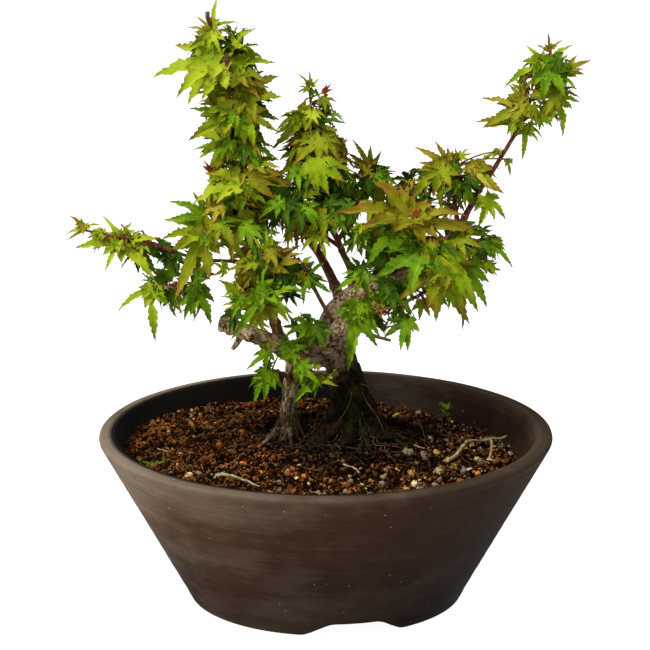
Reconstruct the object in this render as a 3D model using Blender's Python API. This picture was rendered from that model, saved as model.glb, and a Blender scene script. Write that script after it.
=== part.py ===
"""A Japanese maple bonsai, planted in a round unglazed clay bowl on three feet.

The bowl, the soil, the trunk with its side stem, each bough and each mass of leaves are separate
solids. Metres, +Z up. The origin is on the table, on the bowl's axis, and the front is towards -Y.
"""
import math
import random

import bmesh
import bpy
from mathutils import Matrix, Vector, noise
from mathutils.bvhtree import BVHTree

GAP = 0.0003                  # clearance between solids that touch on the real plant
JOIN_SCALE = 1000.0           # leaves are fused this many times larger, as they are fine for a Boolean
UP = Vector((0.0, 0.0, 1.0))

# ---------------------------------------------------------------- the bowl
RIM_RADIUS = 0.0800           # outside, at the top edge
BASE_RADIUS = 0.0474          # outside, on the table
BOWL_HEIGHT = 0.0587
RIM_WIDTH = 0.0068            # flat top of the wall
RIM_ROUND = 0.0016            # rounding of the rim's two edges
BASE_BEVEL = 0.0008
FLOOR_THICKNESS = 0.0055
FOOT_HEIGHT = 0.0055          # depth of the recess under the floor
FOOT_RING_WIDTH = 0.0085
ARCH_HEIGHT = 0.0051
ARCH_HALF_WIDTH = 0.0188
ARCH_COUNT = 3
FIRST_ARCH_ANGLE = math.radians(-78.4)
DRAIN_RADIUS = 0.0075
BOWL_SIDES = 48

# ---------------------------------------------------------------- the soil
GROUND = 0.0560               # level of the flat ground that the trunk stands on
SOIL_EDGE = 0.0503            # mean level of the soil along the wall
SOIL_TILT = -0.052            # the soil lies lower on the right
MOUND_HEIGHT = 0.0082
MOUND_CENTRE = (0.0035, 0.0)
MOUND_REACH = (0.043, 0.034)
SOIL_RINGS = 5
SOIL_LUMP = 0.0008            # how far the loose surface rises and falls away from the roots

# ---------------------------------------------------------------- limbs
# Each limb: its points from foot to tip, its radius at each of them, and how many sides it has.
TRUNK = dict(
    points=((0.0107, 0.000, 0.0563), (0.0103, 0.0004, 0.0615), (0.0092, 0.001, 0.0695), (0.0064, 0.002, 0.0790),
            (0.0036, 0.003, 0.0880), (0.0036, 0.0036, 0.0955), (0.0066, 0.004, 0.1005), (0.0106, 0.004, 0.1040)),
    radii=(0.0118, 0.0091, 0.0070, 0.0059, 0.0059, 0.0062, 0.0060, 0.0056), sides=18, phase=0.6)
SIDE_STEM = dict(
    points=((-0.0130, -0.003, 0.0563), (-0.0127, -0.0025, 0.0620), (-0.0124, -0.002, 0.0700),
            (-0.0108, 0.0000, 0.0870)),
    radii=(0.0048, 0.0033, 0.0027, 0.0026), sides=12, phase=1.2)
FLARE_LOBES = 5               # buttress roots round a foot
FLARE_DEPTH = 0.30            # how far they stand out at the ground, as a share of the radius

LIMBS = {
    "stub_limb": dict(parent="trunk", sides=12,
                      points=((0.0030, 0.0025, 0.0868), (-0.0124, 0.000, 0.0872), (-0.0220, -0.001, 0.0916),
                              (-0.0295, -0.002, 0.0950), (-0.0346, -0.003, 0.0970)),
                      radii=(0.0040, 0.0033, 0.0030, 0.0029, 0.0030)),
    "right_bough": dict(parent="trunk", sides=10,
                        points=((0.0106, 0.004, 0.1040), (0.0165, 0.003, 0.1082), (0.0240, 0.000, 0.1125),
                                (0.0330, -0.003, 0.1165), (0.0400, -0.002, 0.1225)),
                        radii=(0.0056, 0.0048, 0.0037, 0.0028, 0.0021)),
    "centre_bough": dict(parent="trunk", beside="right_bough", sides=8,
                         points=((0.0106, 0.004, 0.1040), (0.0088, 0.005, 0.1130), (0.0060, 0.007, 0.1195),
                                 (0.0032, 0.010, 0.1258)),
                         radii=(0.0019, 0.0016, 0.0014, 0.0012)),
    "left_riser": dict(parent="stub_limb", sides=8,
                       points=((-0.0150, -0.0005, 0.0883), (-0.0180, -0.001, 0.0985), (-0.0219, 0.000, 0.1084),
                               (-0.0254, 0.002, 0.1178), (-0.0272, 0.003, 0.1235)),
                       radii=(0.0020, 0.0017, 0.0014, 0.0011, 0.0010)),
    "left_reach": dict(parent="left_riser", sides=6,
                       points=((-0.0254, 0.002, 0.1178), (-0.0330, 0.000, 0.1186), (-0.0430, -0.003, 0.1200),
                               (-0.0510, -0.005, 0.1228)),
                       radii=(0.0009, 0.0009, 0.0008, 0.0007)),
    "right_upper": dict(parent="right_bough", sides=6,
                        points=((0.0400, -0.002, 0.1225), (0.0452, 0.000, 0.1300), (0.0520, 0.001, 0.1425),
                                (0.0563, 0.001, 0.1492), (0.0640, 0.002, 0.1620)),
                        radii=(0.0017, 0.0013, 0.0011, 0.0009, 0.0008)),
    "right_reach": dict(parent="right_bough", sides=6,
                        points=((0.0330, -0.003, 0.1165), (0.0375, -0.0085, 0.1152), (0.0425, -0.0125, 0.1165)),
                        radii=(0.0012, 0.0010, 0.0009)),
    "back_bough": dict(parent="trunk", sides=8,
                       points=((0.0060, 0.0036, 0.0985), (0.0030, 0.014, 0.1070), (-0.0030, 0.024, 0.1165),
                               (-0.0100, 0.031, 0.1250)),
                       radii=(0.0022, 0.0018, 0.0014, 0.0011)),
    "back_right_bough": dict(parent="right_bough", sides=8,
                             points=((0.0200, 0.0015, 0.1105), (0.0240, 0.012, 0.1145), (0.0290, 0.023, 0.1200),
                                     (0.0330, 0.031, 0.1270)),
                             radii=(0.0016, 0.0014, 0.0012, 0.0010)),
    "front_twig": dict(parent="trunk", sides=6,
                       points=((0.0030, 0.003, 0.0955), (0.0010, -0.005, 0.1010), (-0.0022, -0.008, 0.1075),
                               (-0.0048, -0.009, 0.1130)),
                       radii=(0.0009, 0.0008, 0.0007, 0.0006)),
    "bare_twig": dict(parent="trunk", sides=6,
                      points=((0.0040, 0.003, 0.0935), (0.0120, 0.000, 0.0940), (0.0170, -0.003, 0.0928),
                              (0.0222, -0.005, 0.0918)),
                      radii=(0.0008, 0.0007, 0.0006, 0.0005)),
    "foot_twig": dict(parent="side_stem", sides=6,
                      points=((-0.0124, -0.002, 0.0765), (-0.0140, -0.007, 0.0800), (-0.0165, -0.0105, 0.0822)),
                      radii=(0.0008, 0.0007, 0.0006)),
    "low_twig": dict(parent="trunk", sides=6,
                     points=((0.0064, 0.002, 0.0790), (0.0020, -0.0075, 0.0800), (-0.0005, -0.012, 0.0818)),
                     radii=(0.0008, 0.0007, 0.0006)),
}
SNAG = dict(points=((-0.0285, -0.002, 0.0945), (-0.0305, -0.003, 0.0905), (-0.0322, -0.0035, 0.0882)),
            radii=(0.0013, 0.0011, 0.0009), sides=6)

# ---------------------------------------------------------------- masses of leaves
# Each mass: the limb that carries it, its stem from there to its tip, the blobs of space that it
# fills (centre and half-widths), the points that its outermost leaves reach, and its leaf's length.
MASSES = {
    "left_leader": dict(
        on="left_riser", leaf=0.0165,
        stem=((-0.0272, 0.003, 0.1235), (-0.0273, 0.004, 0.1391), (-0.0279, 0.005, 0.1529),
              (-0.0299, 0.005, 0.1667), (-0.0318, 0.004, 0.1823), (-0.0364, 0.003, 0.1944), (-0.0380, 0.003, 0.1990)),
        blobs=(((-0.0330, -0.002, 0.1320), (0.0200, 0.0200, 0.0130)), ((-0.0290, 0.004, 0.1500), (0.0150, 0.0165, 0.0120)),
               ((-0.0300, 0.004, 0.1680), (0.0140, 0.0150, 0.0115)), ((-0.0345, 0.003, 0.1890), (0.0145, 0.0145, 0.0135))),
        tips=((-0.0379, 0.002, 0.2078), (-0.0573, -0.004, 0.1854), (-0.0167, -0.003, 0.1879),
              (-0.0481, -0.003, 0.1774), (-0.0279, 0.003, 0.1992), (-0.0459, -0.003, 0.1603),
              (-0.0132, 0.002, 0.1734), (-0.0159, 0.000, 0.1566), (-0.0232, -0.008, 0.1596),
              (-0.0505, -0.004, 0.1412), (-0.0462, 0.000, 0.1449), (-0.0559, -0.008, 0.1299))),
    "left_heart": dict(
        on="left_riser", leaf=0.0165,
        stem=((-0.0214, 0.000, 0.1072), (-0.0205, -0.008, 0.1105), (-0.0205, -0.013, 0.1150), (-0.0195, -0.014, 0.1230)),
        blobs=(((-0.0215, -0.013, 0.1085), (0.0165, 0.0160, 0.0125)), ((-0.0190, -0.012, 0.1235), (0.0130, 0.0130, 0.0095))),
        tips=((-0.0060, -0.022, 0.1145), (-0.0323, -0.020, 0.1029), (-0.0138, -0.022, 0.1041),
              (-0.0521, -0.014, 0.1136))),
    "left_reach_inner": dict(
        on="left_reach", leaf=0.0160,
        stem=((-0.0430, -0.003, 0.1200), (-0.0475, -0.007, 0.1150), (-0.0500, -0.010, 0.1110)),
        blobs=(((-0.0480, -0.005, 0.1120), (0.0165, 0.0160, 0.0130)),),
        tips=((-0.0592, -0.012, 0.0945), (-0.0701, -0.009, 0.1064), (-0.0374, -0.010, 0.0996))),
    "left_reach_tip": dict(
        on="left_reach", leaf=0.0150,
        stem=((-0.0510, -0.005, 0.1228), (-0.0620, -0.008, 0.1275), (-0.0740, -0.010, 0.1300),
              (-0.0810, -0.010, 0.1316)),
        blobs=(((-0.0700, -0.010, 0.1280), (0.0165, 0.0130, 0.0090)),),
        tips=((-0.0570, -0.016, 0.1169), (-0.0847, -0.012, 0.1277), (-0.0742, -0.006, 0.1364),
              (-0.0890, -0.010, 0.1307), (-0.0864, -0.009, 0.1385))),
    "centre_leader": dict(
        on="centre_bough", leaf=0.0145,
        stem=((0.0032, 0.010, 0.1258), (0.0005, 0.012, 0.1340), (-0.0028, 0.013, 0.1500),
              (-0.0045, 0.013, 0.1640), (-0.0055, 0.012, 0.1745)),
        blobs=(((-0.0020, 0.012, 0.1460), (0.0155, 0.0155, 0.0130)), ((-0.0035, 0.012, 0.1650), (0.0120, 0.0120, 0.0130))),
        tips=((-0.0058, 0.012, 0.1817), (-0.0174, 0.008, 0.1578), (0.0052, 0.009, 0.1667),
              (0.0038, 0.012, 0.1703), (0.0052, 0.008, 0.1505), (0.0014, 0.000, 0.1417))),
    "centre_low": dict(
        on="centre_bough", leaf=0.0145,
        stem=((0.0052, 0.008, 0.1215), (-0.0020, 0.005, 0.1275), (-0.0090, 0.003, 0.1340), (-0.0120, 0.003, 0.1410)),
        blobs=(((-0.0090, 0.004, 0.1350), (0.0140, 0.0150, 0.0140)),),
        tips=((-0.0165, 0.006, 0.1254), (-0.0082, 0.000, 0.1232), (-0.0120, 0.002, 0.1520))),
    "centre_tuft": dict(
        on="centre_bough", leaf=0.0130,
        stem=((0.0042, 0.009, 0.1237), (0.0100, 0.015, 0.1330), (0.0138, 0.018, 0.1440), (0.0145, 0.018, 0.1490)),
        blobs=(((0.0155, 0.018, 0.1430), (0.0110, 0.0130, 0.0120)),),
        tips=((0.0118, 0.018, 0.1555), (0.0232, 0.017, 0.1455), (0.0225, 0.012, 0.1385))),
    "middle_spray": dict(
        on="front_twig", leaf=0.0110,
        stem=((-0.0048, -0.009, 0.1130), (-0.0058, -0.0095, 0.1160), (-0.0066, -0.010, 0.1190)),
        blobs=(((-0.0030, -0.010, 0.1165), (0.0130, 0.0110, 0.0085)),),
        tips=((-0.0146, -0.010, 0.1130), (0.0031, -0.012, 0.1225))),
    "right_inner": dict(
        on="right_bough", leaf=0.0170,
        stem=((0.0240, 0.000, 0.1125), (0.0220, -0.004, 0.1200), (0.0205, -0.006, 0.1320)),
        blobs=(((0.0200, -0.005, 0.1275), (0.0160, 0.0170, 0.0140)),),
        tips=((0.0047, -0.012, 0.1453), (0.0125, -0.018, 0.1191), (0.0165, -0.010, 0.1483))),
    "right_low": dict(
        on="right_reach", leaf=0.0165,
        stem=((0.0375, -0.0085, 0.1152), (0.0330, -0.014, 0.1110), (0.0250, -0.018, 0.1080), (0.0180, -0.020, 0.1060)),
        blobs=(((0.0225, -0.015, 0.1040), (0.0180, 0.0150, 0.0110)),),
        tips=((0.0071, -0.024, 0.0900), (0.0227, -0.018, 0.0919), (0.0142, -0.022, 0.0947), (0.0024, -0.020, 0.1098))),
    "right_outer": dict(
        on="right_reach", leaf=0.0195,
        stem=((0.0425, -0.0125, 0.1165), (0.0440, -0.0150, 0.1230), (0.0400, -0.018, 0.1305)),
        blobs=(((0.0445, -0.014, 0.1215), (0.0185, 0.0170, 0.0170)),),
        tips=((0.0571, -0.022, 0.1372), (0.0477, -0.024, 0.1022), (0.0441, -0.020, 0.1443), (0.0545, -0.016, 0.1089))),
    "right_wing": dict(
        on="right_bough", leaf=0.0140,
        stem=((0.0368, -0.0025, 0.1192), (0.0445, 0.003, 0.1188), (0.0540, 0.005, 0.1220)),
        blobs=(((0.0520, 0.004, 0.1205), (0.0105, 0.0140, 0.0120)),),
        tips=((0.0627, 0.004, 0.1156), (0.0590, 0.008, 0.1242))),
    "right_tuft": dict(
        on="right_upper", leaf=0.0155,
        stem=((0.0452, 0.000, 0.1300), (0.0440, 0.003, 0.1400), (0.0445, 0.004, 0.1510)),
        blobs=(((0.0445, 0.003, 0.1475), (0.0150, 0.0140, 0.0130)),),
        tips=((0.0333, 0.000, 0.1590), (0.0276, -0.002, 0.1439), (0.0601, -0.004, 0.1419), (0.0587, -0.006, 0.1323),
              (0.0450, 0.002, 0.1610))),
    "far_right": dict(
        on="right_upper", leaf=0.0140,
        stem=((0.0640, 0.002, 0.1620), (0.0690, 0.002, 0.1735), (0.0735, 0.001, 0.1830), (0.0755, 0.000, 0.1900)),
        blobs=(((0.0690, 0.002, 0.1705), (0.0130, 0.0130, 0.0100)), ((0.0755, 0.001, 0.1840), (0.0115, 0.0130, 0.0120))),
        tips=((0.0751, 0.002, 0.1966), (0.0596, -0.002, 0.1823), (0.0882, 0.000, 0.1888), (0.0837, -0.003, 0.1651),
              (0.0524, 0.000, 0.1724), (0.0541, -0.002, 0.1663), (0.0666, -0.004, 0.1553))),
    "back_left": dict(
        on="back_bough", leaf=0.0170,
        stem=((-0.0100, 0.031, 0.1250), (-0.0200, 0.036, 0.1310), (-0.0290, 0.038, 0.1360)),
        blobs=(((-0.0240, 0.037, 0.1325), (0.0190, 0.0170, 0.0140)),),
        tips=((-0.0400, 0.046, 0.1400), (-0.0250, 0.056, 0.1290), (-0.0420, 0.038, 0.1240))),
    "back_centre": dict(
        on="back_bough", leaf=0.0155,
        stem=((-0.0030, 0.024, 0.1165), (0.0010, 0.032, 0.1240), (0.0030, 0.037, 0.1330)),
        blobs=(((0.0030, 0.037, 0.1330), (0.0140, 0.0140, 0.0140)),),
        tips=((0.0040, 0.050, 0.1260), (0.0040, 0.040, 0.1480))),
    "back_right": dict(
        on="back_right_bough", leaf=0.0170,
        stem=((0.0330, 0.031, 0.1270), (0.0360, 0.034, 0.1330), (0.0380, 0.035, 0.1400)),
        blobs=(((0.0350, 0.033, 0.1330), (0.0170, 0.0170, 0.0140)),),
        tips=((0.0500, 0.040, 0.1270), (0.0380, 0.052, 0.1300), (0.0260, 0.042, 0.1440))),
    "back_low": dict(
        on="back_right_bough", leaf=0.0155,
        stem=((0.0240, 0.012, 0.1145), (0.0250, 0.020, 0.1090), (0.0260, 0.027, 0.1050)),
        blobs=(((0.0260, 0.024, 0.1080), (0.0150, 0.0130, 0.0110)),),
        tips=((0.0300, 0.042, 0.1000), (0.0120, 0.034, 0.1030))),
    "fork_spray": dict(
        on="stub_limb", leaf=0.0120,
        stem=((-0.0050, 0.001, 0.0868), (-0.0058, -0.007, 0.0920), (-0.0065, -0.0120, 0.0955)),
        blobs=(((-0.0070, -0.011, 0.0945), (0.0120, 0.0095, 0.0075)),),
        tips=((-0.0150, -0.015, 0.0950), (0.0000, -0.016, 0.0960))),
    "foot_spray": dict(
        on="foot_twig", leaf=0.0130,
        stem=((-0.0165, -0.0105, 0.0822), (-0.0185, -0.013, 0.0832), (-0.0205, -0.0150, 0.0838)),
        blobs=(((-0.0205, -0.015, 0.0795), (0.0090, 0.0090, 0.0100)),),
        tips=((-0.0241, -0.020, 0.0731), (-0.0149, -0.018, 0.0750), (-0.0290, -0.013, 0.0790))),
    "low_spray": dict(
        on="low_twig", leaf=0.0115,
        stem=((-0.0005, -0.012, 0.0818), (-0.0020, -0.014, 0.0828), (-0.0040, -0.0165, 0.0832)),
        blobs=(((-0.0020, -0.017, 0.0810), (0.0105, 0.0100, 0.0090)),),
        tips=((-0.0110, -0.022, 0.0757), (0.0020, -0.022, 0.0770), (-0.0135, -0.014, 0.0870))),
}

LEAF_SPACING = 0.0036         # between pairs of leaves along a stem
SIDE_TWIG_SHARE = 0.50        # how far a side twig runs towards the edge of its mass's space
SIDE_TWIG_ROOM = 0.0165       # least way to the edge that is worth a side twig
LEAF_TRIES = 16               # tries at a free place for each leaf
FILL_SIZES = (1.0, 0.9, 0.8, 0.7, 0.62)     # leaf sizes in the rounds that fill a mass
LEAF_THICKNESS = 0.034        # in the middle, as a share of the leaf's length
STALK_RADIUS = 0.00030
STEM_RADIUS = 0.00075
TWIG_RADIUS = 0.00045
LEAF_COVER = 3.0              # leaves for each leaf-length square of a blob's upright section
CROWN_MIDDLE = 0.009          # depth of the plane between leaves that look forward and back
CROWN_DEPTH = 0.022
SPACE_MARGIN = 0.05           # kept clear between two masses, as a share of their half-widths
LIMB_CLEARANCE = 0.0004       # between a leaf and any limb

# Lobes of a leaf: angle from the middle lobe in degrees, and length as a share of the leaf's length.
LOBES = ((0.0, 1.0), (41.0, 0.86), (86.0, 0.54))
NOTCHES = ((20.0, 0.40), (63.0, 0.34))
LEAF_HEEL = (165.0, 0.10)


# ================================================================ common tools
def material(name, colour, roughness):
    made = bpy.data.materials.new(name)
    made.use_nodes = True
    shader = made.node_tree.nodes["Principled BSDF"]
    shader.inputs["Base Color"].default_value = (*colour, 1.0)
    shader.inputs["Roughness"].default_value = roughness
    shader.inputs["Metallic"].default_value = 0.0
    made.diffuse_color = (*colour, 1.0)
    return made


def object_of(name, mesh_builder, finish):
    """A new object in the scene from a filled bmesh."""
    mesh = bpy.data.meshes.new(name)
    mesh_builder.to_mesh(mesh)
    mesh_builder.free()
    made = bpy.data.objects.new(name, mesh)
    mesh.materials.append(finish)
    bpy.context.scene.collection.objects.link(made)
    return made


def apply_modifiers(target):
    """Turns an object's mesh into what its modifiers make of it."""
    graph = bpy.context.evaluated_depsgraph_get()
    made = bpy.data.meshes.new_from_object(target.evaluated_get(graph))
    old = target.data
    target.modifiers.clear()
    target.data = made
    bpy.data.meshes.remove(old)


def smooth_path(points, steps):
    """A Catmull-Rom curve through the points, with this many steps between two of them."""
    points = [Vector(p) for p in points]
    ends = [2 * points[0] - points[1]] + points + [2 * points[-1] - points[-2]]
    path = []
    for i in range(1, len(ends) - 2):
        a, b, c, d = ends[i - 1:i + 3]
        for k in range(steps):
            t = k / steps
            path.append(0.5 * (2 * b + (c - a) * t + (2 * a - 5 * b + 4 * c - d) * t * t
                               + (3 * b - a - 3 * c + d) * t ** 3))
    path.append(points[-1])
    return path


def spread(values, steps):
    """The values with this many even steps between two of them, to match smooth_path."""
    out = []
    for a, b in zip(values, values[1:]):
        out += [a + (b - a) * k / steps for k in range(steps)]
    return out + [values[-1]]


def tangents(path):
    last = len(path) - 1
    return [(path[min(i + 1, last)] - path[max(i - 1, 0)]).normalized() for i in range(last + 1)]


def frames(path):
    """A side vector at each point of the path that doesn't twist along it."""
    along = tangents(path)
    side = along[0].orthogonal().normalized()
    sides = []
    for t in along:
        side = (side - t * side.dot(t)).normalized()
        sides.append(side)
    return along, sides


def add_tube(mesh, path, radii, sides, shape=None, level_foot=False):
    """A closed tapering tube along the path; shape(index, angle) scales its radius there."""
    along, across = frames(path)
    if level_foot:
        along[0] = UP.copy()
    rings = []
    for i, (centre, t, side, radius) in enumerate(zip(path, along, across, radii)):
        side = (side - t * side.dot(t)).normalized()
        other = t.cross(side)
        ring = []
        for k in range(sides):
            angle = 2 * math.pi * k / sides
            r = radius * (shape(i, angle) if shape else 1.0)
            ring.append(mesh.verts.new(centre + r * (math.cos(angle) * side + math.sin(angle) * other)))
        rings.append(ring)
    for low, high in zip(rings, rings[1:]):
        for k in range(sides):
            n = (k + 1) % sides
            mesh.faces.new((low[k], low[n], high[n], high[k]))
    mesh.faces.new(reversed(rings[0]))
    mesh.faces.new(rings[-1])


def boolean(target, operand, operation, solver="EXACT"):
    """One Boolean of the target with an object or a collection, applied."""
    made = target.modifiers.new("join" if operation == "UNION" else "cut", "BOOLEAN")
    made.operation = operation
    made.solver = solver
    if isinstance(operand, bpy.types.Collection):
        made.operand_type = "COLLECTION"
        made.collection = operand
    else:
        made.object = operand
    apply_modifiers(target)


def remove(*objects):
    for one in objects:
        data = one.data
        bpy.data.objects.remove(one)
        bpy.data.meshes.remove(data)


# ================================================================ bowl and soil
def rounded(corner, before, after, radius, steps):
    """The corner of a profile as an arc that touches both its edges."""
    corner, before, after = Vector(corner), Vector(before), Vector(after)
    to_before, to_after = (before - corner).normalized(), (after - corner).normalized()
    half = to_before.angle(to_after) / 2
    start = corner + to_before * radius / math.tan(half)
    end = corner + to_after * radius / math.tan(half)
    centre = corner + (to_before + to_after).normalized() * radius / math.sin(half)
    arc = []
    for k in range(steps + 1):
        blend = start.lerp(end, k / steps) - centre
        arc.append(centre + blend.normalized() * radius)
    return arc


def wall_radius(height):
    """Inside radius of the bowl's wall, which leans out as the outside does."""
    lean = (RIM_RADIUS - BASE_RADIUS) / BOWL_HEIGHT
    return RIM_RADIUS - RIM_WIDTH - lean * (BOWL_HEIGHT - height)


def bowl_profile():
    """Radius and height round the bowl's section, from the drain hole out, up and back in."""
    floor = FOOT_HEIGHT + FLOOR_THICKNESS
    foot_inside = BASE_RADIUS - FOOT_RING_WIDTH
    base, rim = (BASE_RADIUS, 0.0), (RIM_RADIUS, BOWL_HEIGHT)
    lip, inner_foot = (wall_radius(BOWL_HEIGHT), BOWL_HEIGHT), (wall_radius(floor), floor)
    profile = [(DRAIN_RADIUS, floor), (DRAIN_RADIUS, FOOT_HEIGHT), (foot_inside, FOOT_HEIGHT), (foot_inside, 0.0)]
    profile += rounded(base, (foot_inside, 0.0), rim, BASE_BEVEL, 1)
    profile += rounded(rim, base, lip, RIM_ROUND, 3)
    profile += rounded(lip, rim, inner_foot, RIM_ROUND * 0.6, 2)
    profile += rounded(inner_foot, lip, (0.0, floor), 0.004, 2)
    return [tuple(p) for p in profile]


def arch_cutter(angle):
    """A solid with the outline of the gap between two feet, reaching out through the foot ring."""
    mesh = bmesh.new()
    inner, outer = BASE_RADIUS - 2.2 * FOOT_RING_WIDTH, BASE_RADIUS * 1.2
    flat_share, steps, below = 0.36, 6, -0.004
    outline = [(-ARCH_HALF_WIDTH, below)]
    for k in range(-steps, steps + 1):
        across = k / steps
        rise = min(1.0, (1.0 - abs(across)) / (1.0 - flat_share))
        outline.append((across * ARCH_HALF_WIDTH, ARCH_HEIGHT * rise * rise * (3 - 2 * rise) - GAP))
    outline.append((ARCH_HALF_WIDTH, below))
    face = mesh.faces.new([mesh.verts.new((inner, y, z)) for y, z in outline])
    grown = bmesh.ops.extrude_face_region(mesh, geom=[face])["geom"]
    bmesh.ops.translate(mesh, vec=(outer - inner, 0, 0), verts=[v for v in grown if isinstance(v, bmesh.types.BMVert)])
    bmesh.ops.rotate(mesh, cent=(0, 0, 0), matrix=Matrix.Rotation(angle, 3, "Z"), verts=mesh.verts)
    bmesh.ops.recalc_face_normals(mesh, faces=mesh.faces)
    return object_of("arch_cutter", mesh, CLAY)


def make_bowl():
    mesh = bmesh.new()
    ring = [mesh.verts.new((r, 0.0, z)) for r, z in bowl_profile()]
    edges = [mesh.edges.new((ring[i], ring[(i + 1) % len(ring)])) for i in range(len(ring))]
    bmesh.ops.spin(mesh, geom=ring + edges, cent=(0, 0, 0), axis=UP, dvec=(0, 0, 0), angle=2 * math.pi,
                   steps=BOWL_SIDES, use_merge=True)
    bmesh.ops.remove_doubles(mesh, verts=mesh.verts, dist=1e-6)
    bmesh.ops.recalc_face_normals(mesh, faces=mesh.faces)
    bowl = object_of("bowl", mesh, CLAY)
    for k in range(ARCH_COUNT):
        cutter = arch_cutter(FIRST_ARCH_ANGLE + 2 * math.pi * k / ARCH_COUNT)
        boolean(bowl, cutter, "DIFFERENCE")
        remove(cutter)


def soil_height(x, y):
    """Level of the soil: a tilted bed with a broad mound, cut flat at ground level round the trunk."""
    u = (x - MOUND_CENTRE[0]) / MOUND_REACH[0]
    v = (y - MOUND_CENTRE[1]) / MOUND_REACH[1]
    mound = MOUND_HEIGHT * math.exp(-(u * u + v * v) ** 2)
    return min(GROUND, SOIL_EDGE + SOIL_TILT * x + mound)


def soil_lumps(x, y):
    """Low lumps and hollows about 14 mm apart in the loose surface, none near the roots."""
    from_foot = min(math.hypot(x - 0.0107, y) - 0.025, math.hypot(x + 0.0130, y + 0.003) - 0.017)
    strength = max(0.0, min(1.0, from_foot / 0.008))
    wave = math.sin(x * 310 + 2.1 * math.sin(y * 190)) * math.sin(y * 280 + 1.7 * math.sin(x * 150 + 1.0))
    return SOIL_LUMP * strength * (wave + 0.5 * math.sin(x * 520 - y * 430 + 0.6) - 0.3)


def make_soil():
    """Fills the bowl from its floor to the soil's surface, clear of the wall all round."""
    mesh = bmesh.new()
    floor = FOOT_HEIGHT + FLOOR_THICKNESS + GAP
    clear = GAP * 1.25
    top_centre = mesh.verts.new((0, 0, soil_height(0, 0)))
    rings = []
    for i in range(1, SOIL_RINGS + 1):
        ring = []
        for k in range(BOWL_SIDES):
            angle = 2 * math.pi * k / BOWL_SIDES
            c, s = math.cos(angle), math.sin(angle)
            lump = soil_lumps(0.071 * c, 0.071 * s)
            edge = wall_radius(SOIL_EDGE + SOIL_TILT * 0.071 * c + min(0.0, lump)) - clear
            r = edge * i / SOIL_RINGS
            lump = lump if i == SOIL_RINGS else soil_lumps(r * c, r * s)
            ring.append(mesh.verts.new((r * c, r * s, soil_height(r * c, r * s) + lump)))
        rings.append(ring)
    foot_radius = wall_radius(floor + 0.004) - clear - 0.0005
    bottom_radius = wall_radius(floor) - 0.004
    for radius, height in ((foot_radius, floor + 0.0035), (bottom_radius, floor)):
        rings.append([mesh.verts.new((radius * math.cos(2 * math.pi * k / BOWL_SIDES),
                                      radius * math.sin(2 * math.pi * k / BOWL_SIDES), height))
                      for k in range(BOWL_SIDES)])
    for k in range(BOWL_SIDES):
        n = (k + 1) % BOWL_SIDES
        mesh.faces.new((top_centre, rings[0][k], rings[0][n]))
        for near, far in zip(rings, rings[1:]):
            mesh.faces.new((near[k], far[k], far[n], near[n]))
    mesh.faces.new(reversed(rings[-1]))
    bmesh.ops.recalc_face_normals(mesh, faces=mesh.faces)
    object_of("soil", mesh, SOIL)


# ================================================================ trunk and boughs
def limb_path(limb, steps=2):
    return smooth_path(limb["points"], steps), spread(limb["radii"], steps)


def flared(path, phase):
    """Buttress roots that fade out above the ground, and shallow flutes above them."""
    def shape(i, angle):
        height = (path[i].z - path[0].z) / 0.018
        depth = FLARE_DEPTH * max(0.0, 1.0 - height) ** 1.5 + 0.04
        return 1.0 + depth * math.cos(FLARE_LOBES * angle + phase)
    return shape


def make_foot(name, limb):
    """A stem with a flat foot on the ground and its root flare."""
    path, radii = limb_path(limb)
    mesh = bmesh.new()
    add_tube(mesh, path, radii, limb["sides"], flared(path, limb["phase"]), level_foot=True)
    return object_of(name, mesh, BARK)


def add_surface_roots(stem, foot, directions, reach, radius):
    """Roots that leave the flare and run out along the ground, fused to the stem."""
    roots = bpy.data.collections.new("roots")
    bpy.context.scene.collection.children.link(roots)
    for k, angle in enumerate(directions):
        out = Vector((math.cos(angle), math.sin(angle), 0.0))
        bend = Vector((-out.y, out.x, 0.0)) * (0.0016 if k % 2 else -0.0016)
        points = []
        for share, rise in ((0.30, 0.0038), (0.62, 0.0012), (0.82, 0.0), (1.0, 0.0)):
            at = Vector(foot) + out * reach * share + bend * share
            thick = radius * (1.15 - 0.62 * share)
            points.append((at.x, at.y, soil_height(at.x, at.y) + thick + GAP + rise))
        mesh = bmesh.new()
        add_tube(mesh, smooth_path(points, 2), spread([radius * s for s in (0.96, 0.76, 0.64, 0.45)], 2), 6)
        root = object_of("root", mesh, BARK)
        bpy.context.scene.collection.objects.unlink(root)
        roots.objects.link(root)
    boolean(stem, roots, "UNION")
    remove(*list(roots.objects))
    bpy.data.collections.remove(roots)


def fattened(limb, by):
    """The limb's tube, larger by this all round and at both ends."""
    path, radii = limb_path(limb)
    along = tangents(path)
    path[0], path[-1] = path[0] - along[0] * by, path[-1] + along[-1] * by
    mesh = bmesh.new()
    shape = flared(path, limb["phase"]) if "phase" in limb else None
    add_tube(mesh, path, [r + by for r in radii], limb["sides"], shape)
    return mesh


def cut_clear(target, limb):
    """Cuts the target back so that it meets the limb with the usual gap."""
    cutter = object_of("cutter", fattened(limb, GAP * 1.1), BARK)
    boolean(target, cutter, "DIFFERENCE")
    remove(cutter)


def keep_largest(target):
    """Drops the loose scraps that a cut or a join leaves."""
    mesh = bmesh.new()
    mesh.from_mesh(target.data)
    groups, seen = [], set()
    for first in mesh.faces:
        if first in seen:
            continue
        group, waiting = {first}, [first]
        while waiting:
            for edge in waiting.pop().edges:
                for other in edge.link_faces:
                    if other not in group:
                        group.add(other)
                        waiting.append(other)
        seen |= group
        groups.append(group)
    largest = max(groups, key=len)
    bmesh.ops.delete(mesh, geom=[f for f in mesh.faces if f not in largest], context="FACES")
    mesh.to_mesh(target.data)
    mesh.free()


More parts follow.
